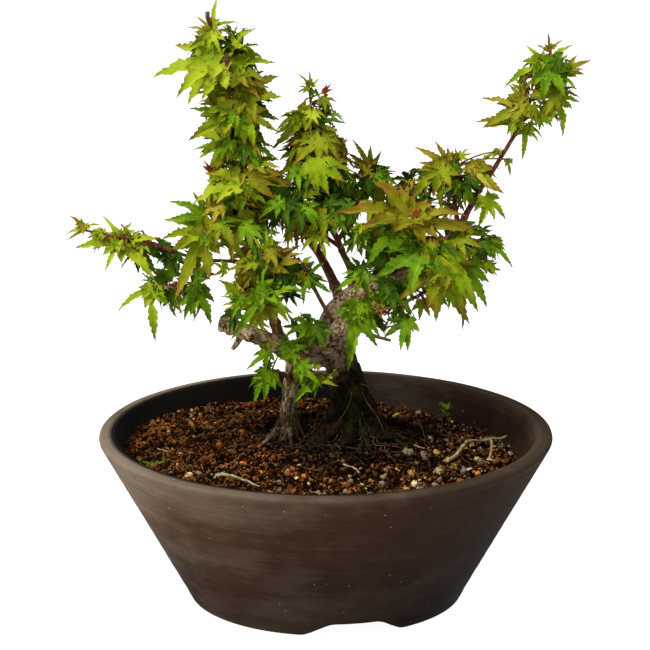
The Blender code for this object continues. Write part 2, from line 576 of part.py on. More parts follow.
def make_limb(name, limb):
    """One bough: a tapering tube from inside its parent, cut back to a saddle that fits the parent."""
    path, radii = limb_path(limb)
    mesh = bmesh.new()
    add_tube(mesh, path, radii, limb["sides"])
    made = object_of(name, mesh, YOUNG_BARK if max(limb["radii"]) < 0.0025 else BARK)
    if name == "stub_limb":
        mesh = bmesh.new()
        add_tube(mesh, *limb_path(SNAG, 1), SNAG["sides"])
        snag = object_of("snag", mesh, BARK)
        boolean(made, snag, "UNION")
        remove(snag)
    cut_clear(made, ALL_LIMBS[limb["parent"]])
    if "beside" in limb:
        cut_clear(made, ALL_LIMBS[limb["beside"]])
    keep_largest(made)
    return made


# ================================================================ leaves
def leaf_outline():
    """Corners of a five-lobed leaf in its plane, from one side of the stalk round to the other."""
    half = []
    for (tip_angle, tip), (notch_angle, notch) in zip(LOBES, NOTCHES + (LEAF_HEEL,)):
        half.append((math.radians(tip_angle), tip))
        half.append((math.radians(notch_angle), notch))
    right = [(-a, r) for a, r in reversed(half[1:])]
    return [(r * math.cos(a), r * math.sin(a)) for a, r in right + half]


def leaf_mesh(root, base, axis, face, length, curl):
    """Vertices and faces of one leaf with its stalk from root to base, as one closed thin solid.

    The blade is a star with a ridge point above and below its middle. The stalk's three sides leave
    it from the triangle at its heel.
    """
    side = face.cross(axis)

    def place(x, y, z):
        return base + length * (x * axis + y * side + (z - curl * (x * x + y * y)) * face)

    half = LEAF_THICKNESS / 2
    verts = [place(x, y, 0.0) for x, y in leaf_outline()]
    last = len(verts) - 1
    top, bottom, heel, foot_first, foot_last, foot_heel = range(last + 1, last + 7)
    verts += [place(0.08, 0.0, half), place(0.08, 0.0, -half), place(-0.09, 0.0, LEAF_THICKNESS)]
    faces = [(top, i, i + 1) for i in range(last)] + [(bottom, i + 1, i) for i in range(last)]
    faces += [(top, last, heel), (top, heel, 0), (bottom, 0, last)]

    along = (base - root).normalized()
    middle = (verts[0] + verts[last] + verts[heel]) / 3
    for corner in (0, last, heel):
        offset = verts[corner] - middle
        offset = (offset - along * offset.dot(along)).normalized()
        verts.append(root + STALK_RADIUS * offset)
    faces += [(heel, last, foot_last, foot_heel), (last, 0, foot_first, foot_last),
              (0, heel, foot_heel, foot_first), (foot_heel, foot_last, foot_first)]
    return verts, faces


class Mass:
    """One mass of leaves, grown by a seeded rule from its stem inside its own space."""

    def __init__(self, name, index):
        spec = MASSES[name]
        self.name = name
        self.random = random.Random(3119 + index)
        self.blobs = [(Vector(centre), Vector(reach)) for centre, reach in spec["blobs"]]
        self.tips = [Vector(tip) for tip in spec["tips"]]
        self.leaf_length = spec["leaf"]
        self.stem = smooth_path(self.clear_of_carrier(spec), 2)
        self.twigs, self.leaves = [], []
        last = len(self.stem) - 1
        thinning = (STEM_RADIUS - TWIG_RADIUS) / last
        self.add_twig(self.stem, [STEM_RADIUS - thinning * i for i in range(last + 1)], 4)

    @staticmethod
    def clear_of_carrier(spec):
        """The stem's points, the first of them moved so that its end just clears the limb."""
        points = [Vector(p) for p in spec["stem"]]
        ahead = points[1] - points[0]
        start = min(0.004, 0.8 * ahead.length)
        ahead.normalize()
        mesh = fattened(ALL_LIMBS[spec["on"]], 0.0)
        carrier = BVHTree.FromBMesh(mesh)
        mesh.free()
        across = ahead.orthogonal().normalized() * STEM_RADIUS
        rim = [Matrix.Rotation(math.radians(angle), 3, ahead) @ across for angle in range(0, 360, 45)]
        while start > 0.0 and min(carrier.find_nearest(points[0] + ahead * start + edge)[3]
                                  for edge in rim) > GAP * 1.1:
            start -= 0.00005
        points[0] += ahead * start
        return points

    # ------------------------------------------------------------ its space
    def inside(self, point):
        """0 at the middle of the nearest blob, 1 on its surface."""
        return min(sum(((point[i] - centre[i]) / reach[i]) ** 2 for i in range(3)) ** 0.5
                   for centre, reach in self.blobs)

    def owns(self, point, slack):
        """Whether the point is in this mass's space and nearer to it than to any other."""
        here = self.inside(point)
        return here < slack and all(here + SPACE_MARGIN < other.inside(point)
                                    for other in ALL_MASSES if other is not self)

    def room(self, start, direction):
        """How far the edge of the space lies from start in this direction."""
        distance = 0.0
        while distance < 0.04 and self.inside(start + direction * distance) < 1.0:
            distance += 0.0005
        return distance

    def heart(self, point):
        """Centre of the blob that the point is in."""
        return min(self.blobs, key=lambda blob: (blob[0] - point).length)[0]

    # ------------------------------------------------------------ twigs
    def add_twig(self, path, radii, sides):
        twig = Twig(self, path, radii, sides)
        SOLIDS.append(twig.whole)
        self.twigs.append(twig)
        return twig

    def drop_twig(self, twig):
        SOLIDS.remove(twig.whole)
        self.twigs.remove(twig)

    def side_twig(self, start, end, sag):
        """A twig from a point inside its carrier to the end, if the way there is free."""
        path = [start, start.lerp(end, 0.5) + UP * sag, end]
        twig = Twig(self, path, [TWIG_RADIUS, TWIG_RADIUS * 0.85, TWIG_RADIUS * 0.7], 3)
        if twig.whole.hits_others() or not above_soil(path):
            return None
        if any(twig.whole.meets(leaf.blade) for leaf in self.leaves):
            return None
        SOLIDS.append(twig.whole)
        self.twigs.append(twig)
        return twig

    def places(self, path):
        """Places for leaves from a twig's end inwards: root point, outward and twig directions."""
        found = []
        along, across = frames(path)
        lengths = [0.0]
        for a, b in zip(path, path[1:]):
            lengths.append(lengths[-1] + (b - a).length)
        at, turn = lengths[-1] - 0.0006, self.random.uniform(0, math.pi)
        while at > 0.0025:
            i = max(k for k in range(len(path)) if lengths[k] <= at)
            t, u = along[i], across[i]
            point = path[i] + (path[i + 1] - path[i]).normalized() * (at - lengths[i])
            for half_turn in (0.0, math.pi):
                angle = turn + half_turn + self.random.uniform(-0.3, 0.3)
                out = (math.cos(angle) * u + math.sin(angle) * t.cross(u)).normalized()
                found.append((point, out, t))
            turn += math.pi / 2 + self.random.uniform(-0.35, 0.35)
            at -= LEAF_SPACING * self.random.uniform(0.85, 1.15)
        return found

    # ------------------------------------------------------------ leaves
    def reach_out(self):
        """The outermost leaves, whose middle lobes end at the mass's tips."""
        for tip in self.tips:
            start = min(self.stem[1:-1], key=lambda p: (p - tip).length + 0.5 * abs(p.z - tip.z))
            distance = (tip - start).length
            length = min(max(0.72 * distance, 0.8 * self.leaf_length), 1.6 * self.leaf_length)
            base = tip.lerp(start, min(0.9, length / distance)) + UP * 0.10 * distance
            for _ in range(4 * LEAF_TRIES):
                base_now = base + jitter(self.random, 0.0016)
                away = (base_now - start).length
                root = start
                if away > 0.6 * length:
                    root = start.lerp(base_now, 1.0 - 0.35 * length / away)
                face = facing(tip) + jitter(self.random, 0.35)
                leaf = Leaf(self, root, base_now, (tip - base_now).normalized(), face, (tip - base_now).length,
                            self.random.uniform(0.08, 0.2))
                if not leaf.fits():
                    continue
                if root is not start:
                    end = root + (root - start).normalized() * 0.0004
                    if self.side_twig(start, end, 0.0) is None:
                        continue
                self.keep(leaf)
                break

    def keep(self, leaf):
        self.leaves.append(leaf)
        SOLIDS.append(leaf.whole)

    def fill(self):
        """Leaves and leafy side twigs at the free places along the stem, until the mass has enough."""
        area = sum(reach.x * reach.z for _, reach in self.blobs) * math.pi
        enough = LEAF_COVER * area / self.leaf_length ** 2 + len(self.tips) * 0.6
        for size in FILL_SIZES:
            nodes = self.places(self.stem)
            self.random.shuffle(nodes)
            for point, out, along in nodes:
                if len(self.leaves) >= enough:
                    return
                direction = (out + 0.45 * along + 0.12 * UP).normalized()
                room = self.room(point, direction)
                end = point + direction * room * SIDE_TWIG_SHARE
                twig = None
                if room > SIDE_TWIG_ROOM and self.owns(end, 1.0):
                    twig = self.side_twig(point, end, room * 0.03)
                if twig is None:
                    self.free_leaf(point, out, along, size, room)
                elif not [1 for place in self.places(twig.path)[:6] if self.free_leaf(*place, size, 0.0)]:
                    self.drop_twig(twig)

    def free_leaf(self, point, out, along, size, room):
        """Keeps the first leaf from this place that fits, and says whether there was one."""
        from_heart = (point - self.heart(point)).normalized()
        for _ in range(LEAF_TRIES):
            length = size * self.leaf_length * self.random.uniform(0.82, 1.12)
            outward = (out + 0.8 * from_heart).normalized()
            stalk = (out * 0.8 + along * 0.45 + UP * 0.2 + jitter(self.random, 0.25)).normalized()
            reach = max(0.26 * length, self.random.uniform(0.2, 0.65) * room)
            base = point + stalk * reach * self.random.uniform(0.95, 1.4)
            droop = -0.45 + 0.35 * from_heart.z
            axis = (outward + UP * droop + jitter(self.random, 0.45)).normalized()
            face = facing(base) + 0.35 * from_heart + jitter(self.random, 0.3)
            leaf = Leaf(self, point, base, axis, face, length, self.random.uniform(0.10, 0.30))
            if all(self.owns(p, 1.15) for p in leaf.corners) and leaf.fits():
                self.keep(leaf)
                return True
        return False

    # ------------------------------------------------------------ the solid
    def build(self):
        """One closed solid: the stem with its side twigs and leaves fused on."""
        parts = bpy.data.collections.new("parts_of_" + self.name)
        bpy.context.scene.collection.children.link(parts)
        solids = []
        for twig in self.twigs:
            solids.append(twig.mesh())
        for leaf in self.leaves:
            mesh = bmesh.new()
            corners = [mesh.verts.new(v) for v in leaf.verts]
            for face in leaf.faces:
                mesh.faces.new([corners[i] for i in face])
            solids.append(mesh)
        for mesh in solids:
            bmesh.ops.scale(mesh, vec=(JOIN_SCALE,) * 3, verts=mesh.verts)
        stem = object_of("leaves_" + self.name, solids[0], LEAF)
        for mesh in solids[1:]:
            made = object_of("part", mesh, LEAF)
            bpy.context.scene.collection.objects.unlink(made)
            parts.objects.link(made)
        boolean(stem, parts, "UNION", "MANIFOLD")
        remove(*list(parts.objects))
        bpy.data.collections.remove(parts)
        keep_largest(stem)
        stem.data.transform(Matrix.Scale(1.0 / JOIN_SCALE, 4))


class Solid:
    """What a twig or a leaf takes up, for the tests of what it would run into."""

    def __init__(self, tree, points, owner):
        self.tree, self.owner = tree, owner
        self.middle = sum(points, Vector()) / len(points)
        self.radius = max((p - self.middle).length for p in points) + STEM_RADIUS

    def meets(self, other):
        near = (self.middle - other.middle).length < self.radius + other.radius
        return near and bool(self.tree.overlap(other.tree))

    def hits_others(self):
        """Whether it runs into a limb, or into a twig or leaf of another mass."""
        return any(self.meets(other) for other in SOLIDS if other.owner is not self.owner)


class Twig:
    """A tapering twig, before it is fused to its mass."""

    def __init__(self, owner, path, radii, sides):
        self.path, self.radii, self.sides = path, radii, sides
        solid = self.mesh()
        self.whole = Solid(BVHTree.FromBMesh(solid), path, owner)
        solid.free()

    def mesh(self):
        made = bmesh.new()
        add_tube(made, self.path, self.radii, self.sides)
        return made


class Leaf:
    """A leaf on its stalk, before it is fused to its mass."""

    def __init__(self, owner, root, base, axis, face, length, curl):
        self.owner = owner
        face = (face - axis * face.dot(axis)).normalized()
        self.axis, self.stalk = axis, (base - root).normalized()
        self.verts, self.faces = leaf_mesh(root, base, axis, face, length, curl)
        self.corners = self.verts[:-3]
        blade_faces = [f for f in self.faces if max(f) < len(self.corners)]
        self.whole = Solid(BVHTree.FromPolygons(self.verts, self.faces), self.verts, owner)
        self.blade = Solid(BVHTree.FromPolygons(self.verts, blade_faces), self.verts, owner)

    def fits(self):
        if self.axis.dot(self.stalk) < 0.25:
            return False
        if not above_soil(self.corners) or self.whole.hits_others():
            return False
        if any(self.whole.meets(leaf.blade) or self.blade.meets(leaf.whole) for leaf in self.owner.leaves):
            return False
        return not any(self.blade.meets(twig.whole) for twig in self.owner.twigs)


def facing(point):
    """Which way a leaf's upper face looks: up, and out to the front or back of the crown."""
    depth = max(-1.0, min(1.0, (point.y - CROWN_MIDDLE) / CROWN_DEPTH))
    return Vector((0.0, 0.75 * depth, 0.65))


def jitter(source, size):
    return Vector((source.uniform(-size, size), source.uniform(-size, size), source.uniform(-size, size)))


def above_soil(points):
    return all(point.z > soil_height(point.x, point.y) + LIMB_CLEARANCE for point in points)


# ================================================================ assembly
for old in list(bpy.data.objects):
    bpy.data.objects.remove(old)

CLAY = material("unglazed_clay", (0.085, 0.066, 0.055), 0.85)
SOIL = material("soil", (0.085, 0.040, 0.018), 0.95)
BARK = material("old_bark", (0.30, 0.24, 0.17), 0.9)
YOUNG_BARK = material("young_bark", (0.16, 0.055, 0.035), 0.6)
LEAF = material("maple_leaf", (0.14, 0.30, 0.03), 0.5)

ALL_LIMBS = {"trunk": TRUNK, "side_stem": SIDE_STEM, **LIMBS}

make_bowl()
make_soil()
trunk = make_foot("trunk", TRUNK)
add_surface_roots(trunk, (0.0107, 0.0, GROUND), [math.radians(a) for a in (-28, -80, -135, 35, 110)],
                  0.0205, 0.0016)
side_stem = make_foot("side_stem", SIDE_STEM)
add_surface_roots(side_stem, (-0.0130, -0.003, GROUND), [math.radians(a) for a in (-75, -150, 130)],
                  0.0125, 0.0011)
cut_clear(side_stem, LIMBS["stub_limb"])
keep_largest(side_stem)
for limb_name, limb_spec in LIMBS.items():
    make_limb(limb_name, limb_spec)

SOLIDS = []
ALL_MASSES = []
for any_limb in ALL_LIMBS.values():
    kept_clear = fattened(any_limb, LIMB_CLEARANCE)
    SOLIDS.append(Solid(BVHTree.FromBMesh(kept_clear), [v.co.copy() for v in kept_clear.verts], None))
    kept_clear.free()
for mass_index, mass_name in enumerate(MASSES):
    ALL_MASSES.append(Mass(mass_name, mass_index))
for mass in ALL_MASSES:
    mass.reach_out()
for mass in ALL_MASSES:
    mass.fill()
for mass in ALL_MASSES:
    mass.build()
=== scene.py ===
"""Looks of a small Japanese maple bonsai in a round unglazed clay bowl.

The script follows the real thing as it is put together: bowl, soil, trunk and boughs, leaves, and
then the plain floor, the lights and the camera. Metres, +Z up, the front towards -Y.
"""

import functools
import math

import bmesh
import bpy
import numpy as np
from mathutils import Matrix, Vector, kdtree, noise


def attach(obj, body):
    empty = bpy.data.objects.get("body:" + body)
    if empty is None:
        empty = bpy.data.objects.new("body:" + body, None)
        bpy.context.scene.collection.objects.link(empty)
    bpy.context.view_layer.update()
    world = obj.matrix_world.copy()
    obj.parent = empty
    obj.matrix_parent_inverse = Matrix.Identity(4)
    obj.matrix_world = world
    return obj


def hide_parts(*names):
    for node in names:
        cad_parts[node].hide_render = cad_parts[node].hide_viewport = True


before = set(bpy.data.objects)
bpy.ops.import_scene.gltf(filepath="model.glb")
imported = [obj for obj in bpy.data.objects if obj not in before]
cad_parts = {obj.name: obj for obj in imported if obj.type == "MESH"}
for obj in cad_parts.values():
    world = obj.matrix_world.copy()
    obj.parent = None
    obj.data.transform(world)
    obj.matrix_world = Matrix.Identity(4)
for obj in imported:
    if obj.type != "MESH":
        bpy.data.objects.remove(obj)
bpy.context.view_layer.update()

# ================================================================ the bowl
# A round training bowl of dark stoneware, thrown on a wheel and left unglazed. It stands on a foot
# ring that is cut by three low arches, has a flat rim and one drain hole, and is matt and chalky.
RIM_RADIUS = 0.0800           # outside, at the top edge
BASE_RADIUS = 0.0474          # outside, on the table
BOWL_HEIGHT = 0.0587
RIM_WIDTH = 0.0068            # flat top of the wall
RIM_ROUND = 0.0016
FLOOR_THICKNESS = 0.0055
FOOT_HEIGHT = 0.0055          # depth of the recess under the floor
FOOT_RING_WIDTH = 0.0085
ARCH_HEIGHT = 0.0051
ARCH_HALF_WIDTH = 0.0188
FIRST_ARCH_ANGLE = math.radians(-78.4)
DRAIN_RADIUS = 0.0075
WALL_LEAN = (RIM_RADIUS - BASE_RADIUS) / BOWL_HEIGHT


def to_linear(colour):
    """A colour of six hex digits, sRGB, as the linear values that a shader takes."""
    parts = [int(colour[i:i + 2], 16) / 255 for i in (1, 3, 5)]
    return (*[p / 12.92 if p <= 0.04045 else ((p + 0.055) / 1.055) ** 2.4 for p in parts], 1.0)


def link(tree, source, socket):
    """Links a socket, or the output in use of a node, to an input."""
    if isinstance(source, bpy.types.Node):
        source = next(output for output in source.outputs if output.enabled)
    tree.links.new(source, socket)


def add_node(tree, kind, *values, stops=(), **named):
    """Adds a node. The values go to its inputs in use, in their order. Capitalised names are inputs too,
    and the other names are settings. A string is a colour."""
    node = tree.nodes.new("ShaderNode" + kind)
    for key in filter(str.islower, named):
        setattr(node, key, named[key])
    given = list(zip([socket for socket in node.inputs if socket.enabled], values))
    given += [(node.inputs[key], named[key]) for key in named if not key.islower()]
    for socket, value in given:
        if isinstance(value, (bpy.types.Node, bpy.types.NodeSocket)):
            link(tree, value, socket)
        else:
            socket.default_value = to_linear(value) if isinstance(value, str) else value
    if stops:
        elements = node.color_ramp.elements
        while len(elements) < len(stops):
            elements.new(0.5)
        for element, (position, colour) in zip(elements, stops):
            element.position = position
            element.color = to_linear(colour)
    return node


def new_material(name, **settings):
    """A material with its shader's own sockets set. Returns it with the function that adds its nodes
    and the place on the object at which its patterns are drawn."""
    made = bpy.data.materials.new(name)
    made.use_nodes = True
    for key, value in settings.items():
        made.node_tree.nodes["Principled BSDF"].inputs[key.replace("_", " ")].default_value = value
    add = functools.partial(add_node, made.node_tree)
    return made, add, add("TexCoord").outputs["Object"]


def coat(made, colour, height=None, distance=0.0, strength=1.0):
    """Gives the material's shader its colour and, where there is a height, its fine relief."""
    tree = made.node_tree
    shader = tree.nodes["Principled BSDF"]
    link(tree, colour, shader.inputs["Base Color"])
    if height:
        bump = add_node(tree, "Bump", Height=height, Distance=distance, Strength=strength)
        link(tree, bump, shader.inputs["Normal"])
    return made


def new_object(name, data):
    made = bpy.data.objects.new(name, data)
    bpy.context.scene.collection.objects.link(made)
    return made


def piece(name, mesh, finishes, replaced=()):
    """An object for a finished mesh, with its materials and what it stands for."""
    mesh.name = name
    made = new_object(name, mesh)
    for finish in finishes:
        mesh.materials.append(finish)
    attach(made, "root")
    if replaced:
        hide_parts(*replaced)


def mesh_of(builder):
    """The bmesh as a mesh, shaded smooth."""
    mesh = bpy.data.meshes.new("mesh")
    builder.to_mesh(mesh)
    builder.free()
    mesh.shade_smooth()
    return mesh


# Unglazed stoneware, thrown and fired dark: matt, with fine grit, faint lines from the potter's
# fingers round the wall and rim, and small light specks. A pale chalky wash on the left is partly real
# and partly painted light; the right and the foot are painted darker as shade, and the inside is
# painted dark as shade, most at the left, with some stain from moist soil.
def make_stoneware():
    made, add, place = new_material("unglazed_stoneware", Roughness=0.86, IOR=1.5, Specular_IOR_Level=0.07)
    axes = add("SeparateXYZ", place)
    flat = add("VectorMath", place, (1.0, 1.0, 0.0), operation="MULTIPLY")
    radius = add("VectorMath", flat, operation="LENGTH")
    rings = add("TexNoise", add("CombineXYZ", X=radius, Z=axes.outputs["Z"]), 700.0, 3.0)
    broad = add("TexNoise", place, 26.0, 5.0, 0.6)
    clay = add("ValToRGB", broad, stops=((0.32, "#352114"), (0.52, "#3f2b1a"), (0.72, "#4b3621")))
    # The rim has a paler, greyer skin than the wall; the change is at the rounded edge.
    high = add("MapRange", axes.outputs["Z"], 0.0535, 0.0580, 0.0, 0.75)
    rim = add("Mix", high, clay, "#372d23", data_type="RGBA")
    # Chalky wash: cloudy patches a few centimetres wide, stretched sideways as water dries. It is partly
    # painted light, as it is laid where the light falls, on the upper left.
    stretched = add("Mapping", place, (0.3, 0.1, 0.0), Scale=(14.0, 14.0, 34.0))
    cloud = add("TexNoise", stretched, 1.0, 6.0, 0.62)
    # Painted light and shade: from the lit left and top (1) to the shaded right and foot (0), over the bowl's
    # whole width.
    side = add("MapRange", axes.outputs["X"], 0.075, -0.075, 0.0, 0.62)
    up = add("MapRange", axes.outputs["Z"], 0.0, BOWL_HEIGHT, 0.0, 0.38)
    lit_side_light = add("Math", side, up, operation="ADD")
    thick = add("Math", lit_side_light, 0.42, cloud, operation="MULTIPLY_ADD")
    wash_and_painted_light = add("MapRange", thick, 0.68, 1.02, 0.0, 0.70)
    washed_and_lit = add("Mix", wash_and_painted_light, rim, "#7f7060", data_type="RGBA")
    # Specks of light grit, 0.3 to 0.6 mm, a few to each square centimetre.
    cells = add("TexVoronoi", place, 520.0)
    speck = add("MapRange", cells.outputs["Distance"], 0.16, 0.10, 0.0, 1.0)
    pick = add("SeparateXYZ", cells.outputs["Color"])
    rare = add("Math", pick.outputs["X"], 0.955, operation="GREATER_THAN")
    shown = add("Math", speck, rare, operation="MULTIPLY")
    specked = add("Mix", shown, washed_and_lit, "#a39684", data_type="RGBA")
    lines = add("MapRange", rings, 0.3, 0.7, 0.86, 1.12)
    # Painted shade: the clay darkens from the lit upper left towards the right and the foot, the rim aside.
    painted_shade_tone = add("MapRange", lit_side_light, 0.22, 0.84, 0.14, 1.08)
    even = add("Mix", high, painted_shade_tone, 1.05)
    tone = add("Math", lines, even, operation="MULTIPLY")
    # Inside the wall, which leans out as it rises, the clay is painted dark as shade, near black at the left,
    # and painted lighter at the right where light falls in; moist soil stains it a little too.
    inner_light_and_shade = add("MapRange", axes.outputs["X"], -0.004, 0.088, 0.04, 1.5, interpolation_type="SMOOTHSTEP")
    leant = add("Math", axes.outputs["Z"], -WALL_LEAN, radius, operation="MULTIPLY_ADD")
    inner_painted_shade = add("MapRange", leant, BASE_RADIUS - 0.0040, BASE_RADIUS - 0.0056, 1.0, inner_light_and_shade)
    tone_with_inner_shade = add("Math", tone, inner_painted_shade, operation="MULTIPLY")
    toned = add("VectorMath", specked, tone_with_inner_shade, operation="SCALE")
    grit = add("TexNoise", place, 1900.0, 4.0, 0.7)
    height = add("Math", rings, 0.8, grit, operation="MULTIPLY_ADD")
    return coat(made, toned, height, 0.00022, 0.75)


def round_corner(corner, before, after, radius, steps):
    """The corner of a profile as an arc that touches both its edges."""
    corner, before, after = Vector(corner), Vector(before), Vector(after)
    back, on = (before - corner).normalized(), (after - corner).normalized()
    half = back.angle(on) / 2
    centre = corner + (back + on).normalized() * radius / math.sin(half)
    first, last = corner + back * radius / math.tan(half), corner + on * radius / math.tan(half)
    return [centre + (first.lerp(last, k / steps) - centre).normalized() * radius for k in range(steps + 1)]


def wall_radius(height):
    """Inside radius of the wall, which leans out as the outside does."""
    return RIM_RADIUS - RIM_WIDTH - WALL_LEAN * (BOWL_HEIGHT - height)


def arch_level(x, y):
    """How high the foot ring's underside lies above the table at this place."""
    level = 0.0
    for k in range(3):
        turn = FIRST_ARCH_ANGLE + k * math.tau / 3
        if x * math.cos(turn) + y * math.sin(turn) > 0.0:
            across = abs(y * math.cos(turn) - x * math.sin(turn)) / ARCH_HALF_WIDTH
            rise = max(0.0, min(1.0, (1.0 - across) / 0.64))
            level = max(level, ARCH_HEIGHT * rise * rise * (3 - 2 * rise))
    return level


def throw_bowl():
    floor, inside = FOOT_HEIGHT + FLOOR_THICKNESS, BASE_RADIUS - FOOT_RING_WIDTH
    base, rim = Vector((BASE_RADIUS, 0.0)), Vector((RIM_RADIUS, BOWL_HEIGHT))
    lip, well = Vector((wall_radius(BOWL_HEIGHT), BOWL_HEIGHT)), Vector((wall_radius(floor), floor))
    hole = ((DRAIN_RADIUS, floor), (DRAIN_RADIUS, FOOT_HEIGHT), (inside, FOOT_HEIGHT), (inside, 0.0))
    corners = [Vector(corner) for corner in hole]
    corners += round_corner(base, corners[-1], rim, 0.0008, 3) + round_corner(rim, base, lip, RIM_ROUND, 6)
    corners += round_corner(lip, rim, well, RIM_ROUND * 0.6, 4)
    corners += round_corner(well, lip, corners[0], 0.004, 4)
    profile = []
    for a, b in zip(corners, corners[1:] + corners[:1]):
        steps = max(1, round((b - a).length / 0.0009))
        profile += [a.lerp(b, k / steps) for k in range(steps)]
    mesh = bmesh.new()
    line = [mesh.verts.new((p.x, 0.0, p.y)) for p in profile]
    edges = [mesh.edges.new((a, b)) for a, b in zip(line, line[1:] + line[:1])]
    bmesh.ops.spin(mesh, geom=line + edges, cent=(0, 0, 0), axis=(0, 0, 1), dvec=(0, 0, 0), angle=math.tau,
                   steps=288, use_merge=True)
    bmesh.ops.remove_doubles(mesh, verts=mesh.verts, dist=1e-6)
    bmesh.ops.recalc_face_normals(mesh, faces=mesh.faces)
    mesh.normal_update()
    for vert in mesh.verts:
        x, y, z = vert.co
        out = math.hypot(x, y)
        if out > inside - 1e-5 and z < ARCH_HEIGHT:
            level = arch_level(x, y)
            if z < level:
                lift = level - z
                grow = 1.0 + WALL_LEAN * lift / out if out > BASE_RADIUS - 0.001 else 1.0
                vert.co = Vector((x * grow, y * grow, level))
        # Finger rings and the slight unevenness of a hand-thrown wall, always inwards of its true line.
        rings = noise.noise(Vector((0.3, 0.0, z * 420 + out * 160))) * 0.5 + 0.5
        dents = noise.noise(Vector((x, y, z)) * 45.0) * 0.5 + 0.5
        if z > 0.003 and out > BASE_RADIUS * 0.9:
            vert.co -= vert.normal * (0.00013 * rings + 0.00025 * dents)
    return mesh_of(mesh)


piece("clay_bowl", throw_bowl(), [make_stoneware()], ["bowl"])

# ================================================================ the soil
# The bowl is filled with a loose bonsai mix: crumbled red-brown fired clay and bark mould, with more
# pumice and grit to the right. It is pressed into a low mound under the tree and sinks to the right.
GROUND = 0.0560               # level of the flat ground that the trunk stands on
SOIL_EDGE = 0.0503            # mean level of the soil along the wall
SOIL_TILT = -0.052            # the soil lies lower on the right
MOUND_HEIGHT = 0.0082
MOUND_CENTRE = (0.0035, 0.0)
MOUND_REACH = (0.043, 0.034)
SOIL_GAP = 0.00035            # between the soil and the clay
SOIL_LUMP = 0.0008            # how far the loose surface rises and falls away from the roots
CRUMBS, GRAINS, PEBBLES = 9800, 900, 50
# Middle and reach of the painted shade under the crown, with moist packed soil, round and behind the stems.
SHADE_WET_CENTRE, SHADE_WET_REACH = (0.007, 0.012), (0.032, 0.040)
TRUNK_FOOT, SIDE_FOOT = (0.0107, 0.0), (-0.0130, -0.0030)   # where the two stems stand


def soil_height(x, y):
    """Level of the soil: a tilted bed with a broad mound, flat at ground level round the trunk."""
    u = (x - MOUND_CENTRE[0]) / MOUND_REACH[0]
    v = (y - MOUND_CENTRE[1]) / MOUND_REACH[1]
    mound = MOUND_HEIGHT * math.exp(-(u * u + v * v) ** 2)
    return min(GROUND, SOIL_EDGE + SOIL_TILT * x + mound)


def crumbled(x, y):
    """Unevenness of the loose surface at a place, in metres."""
    from_foot = min(math.dist((x, y), TRUNK_FOOT) - 0.025, math.dist((x, y), SIDE_FOOT) - 0.017)
    strength = max(0.0, min(1.0, from_foot / 0.008))
    wave = math.sin(x * 310 + 2.1 * math.sin(y * 190)) * math.sin(y * 280 + 1.7 * math.sin(x * 150 + 1.0))
    lumps = SOIL_LUMP * strength * (wave + 0.5 * math.sin(x * 520 - y * 430 + 0.6) - 0.3)
    at = Vector((x, y, 0.0))
    return lumps + 0.0004 * noise.noise(at * 200.0) + 0.0004 * noise.noise(at * 520.0) - 0.0003


def soil_surface(x, y):
    return soil_height(x, y) + crumbled(x, y)


def make_soil_bed():
    mesh = bmesh.new()
    floor = FOOT_HEIGHT + FLOOR_THICKNESS + SOIL_GAP
    brim = wall_radius(SOIL_EDGE)
    profile = [(brim * k / 76, 1.0) for k in range(77)]
    profile += [(wall_radius(floor + 0.004) - 0.0008, floor + 0.0035), (wall_radius(floor) - 0.0045, floor),
                (0.0, floor)]
    line = [mesh.verts.new((r, 0.0, z)) for r, z in profile]
    edges = [mesh.edges.new(pair) for pair in zip(line, line[1:])]
    bmesh.ops.spin(mesh, geom=line + edges, cent=(0, 0, 0), axis=(0, 0, 1), dvec=(0, 0, 0), angle=math.tau,
                   steps=400, use_merge=True)
    bmesh.ops.remove_doubles(mesh, verts=mesh.verts, dist=1e-5)
    for vert in mesh.verts:
        if vert.co.z > 0.5:
            x, y = vert.co.x, vert.co.y
            out = math.hypot(x, y) / brim
            edge = wall_radius(SOIL_EDGE + SOIL_TILT * x) - SOIL_GAP
            grow = edge / brim if out > 0.5 else 1.0 + (edge / brim - 1.0) * out
            vert.co = Vector((x * grow, y * grow, soil_surface(x, y)))
    bmesh.ops.recalc_face_normals(mesh, faces=mesh.faces)
    return mesh_of(mesh)


def add_wet_and_shaded_ground(add, place, colour):
    """Darkens a colour round and behind the stems, to near black at the middle: painted shade under the
    crown, where the soil is also packed with roots and stays moist.
    """
    shift = add("VectorMath", place, (*SHADE_WET_CENTRE, 0.0), operation="SUBTRACT")
    share = add("VectorMath", shift, (1 / SHADE_WET_REACH[0], 1 / SHADE_WET_REACH[1], 0.0), operation="MULTIPLY")
    away = add("VectorMath", share, operation="LENGTH")
    ragged = add("Math", add("TexNoise", place, 130.0, 3.0), 1.1, away, operation="MULTIPLY_ADD")
    # Painted shade: the tone falls to near black at the middle.
    tone = add("MapRange", ragged, 1.34, 1.86, 0.03, 0.96)
    return add("VectorMath", colour, tone, operation="SCALE")


# Moist fired-clay fines and bark mould, pressed by hand: no gloss, dark red-brown in small clods,
# with the pores between them painted almost black as shade. The bump is drawn at the 0.5 to 1.5 mm of the
# fines.
def make_fines():
    made, add, place = new_material("moist_clay_fines", Roughness=0.93, IOR=1.45, Specular_IOR_Level=0.03)
    clods = add("TexNoise", place, 620.0, 5.0, 0.7)
    earth_and_pore_shade = add("ValToRGB", clods,
                stops=((0.36, "#030100"), (0.48, "#120702"), (0.58, "#3a1c0a"), (0.72, "#6e3d18")))
    tone = add("MapRange", add("TexNoise", place, 60.0, 3.0), 0.35, 0.65, 0.55, 1.15)
    shaded = add("VectorMath", earth_and_pore_shade, tone, operation="SCALE")
    # The fines take the painted shade round and behind the stems.
    return coat(made, add_wet_and_shaded_ground(add, place, shaded), clods, 0.0012)


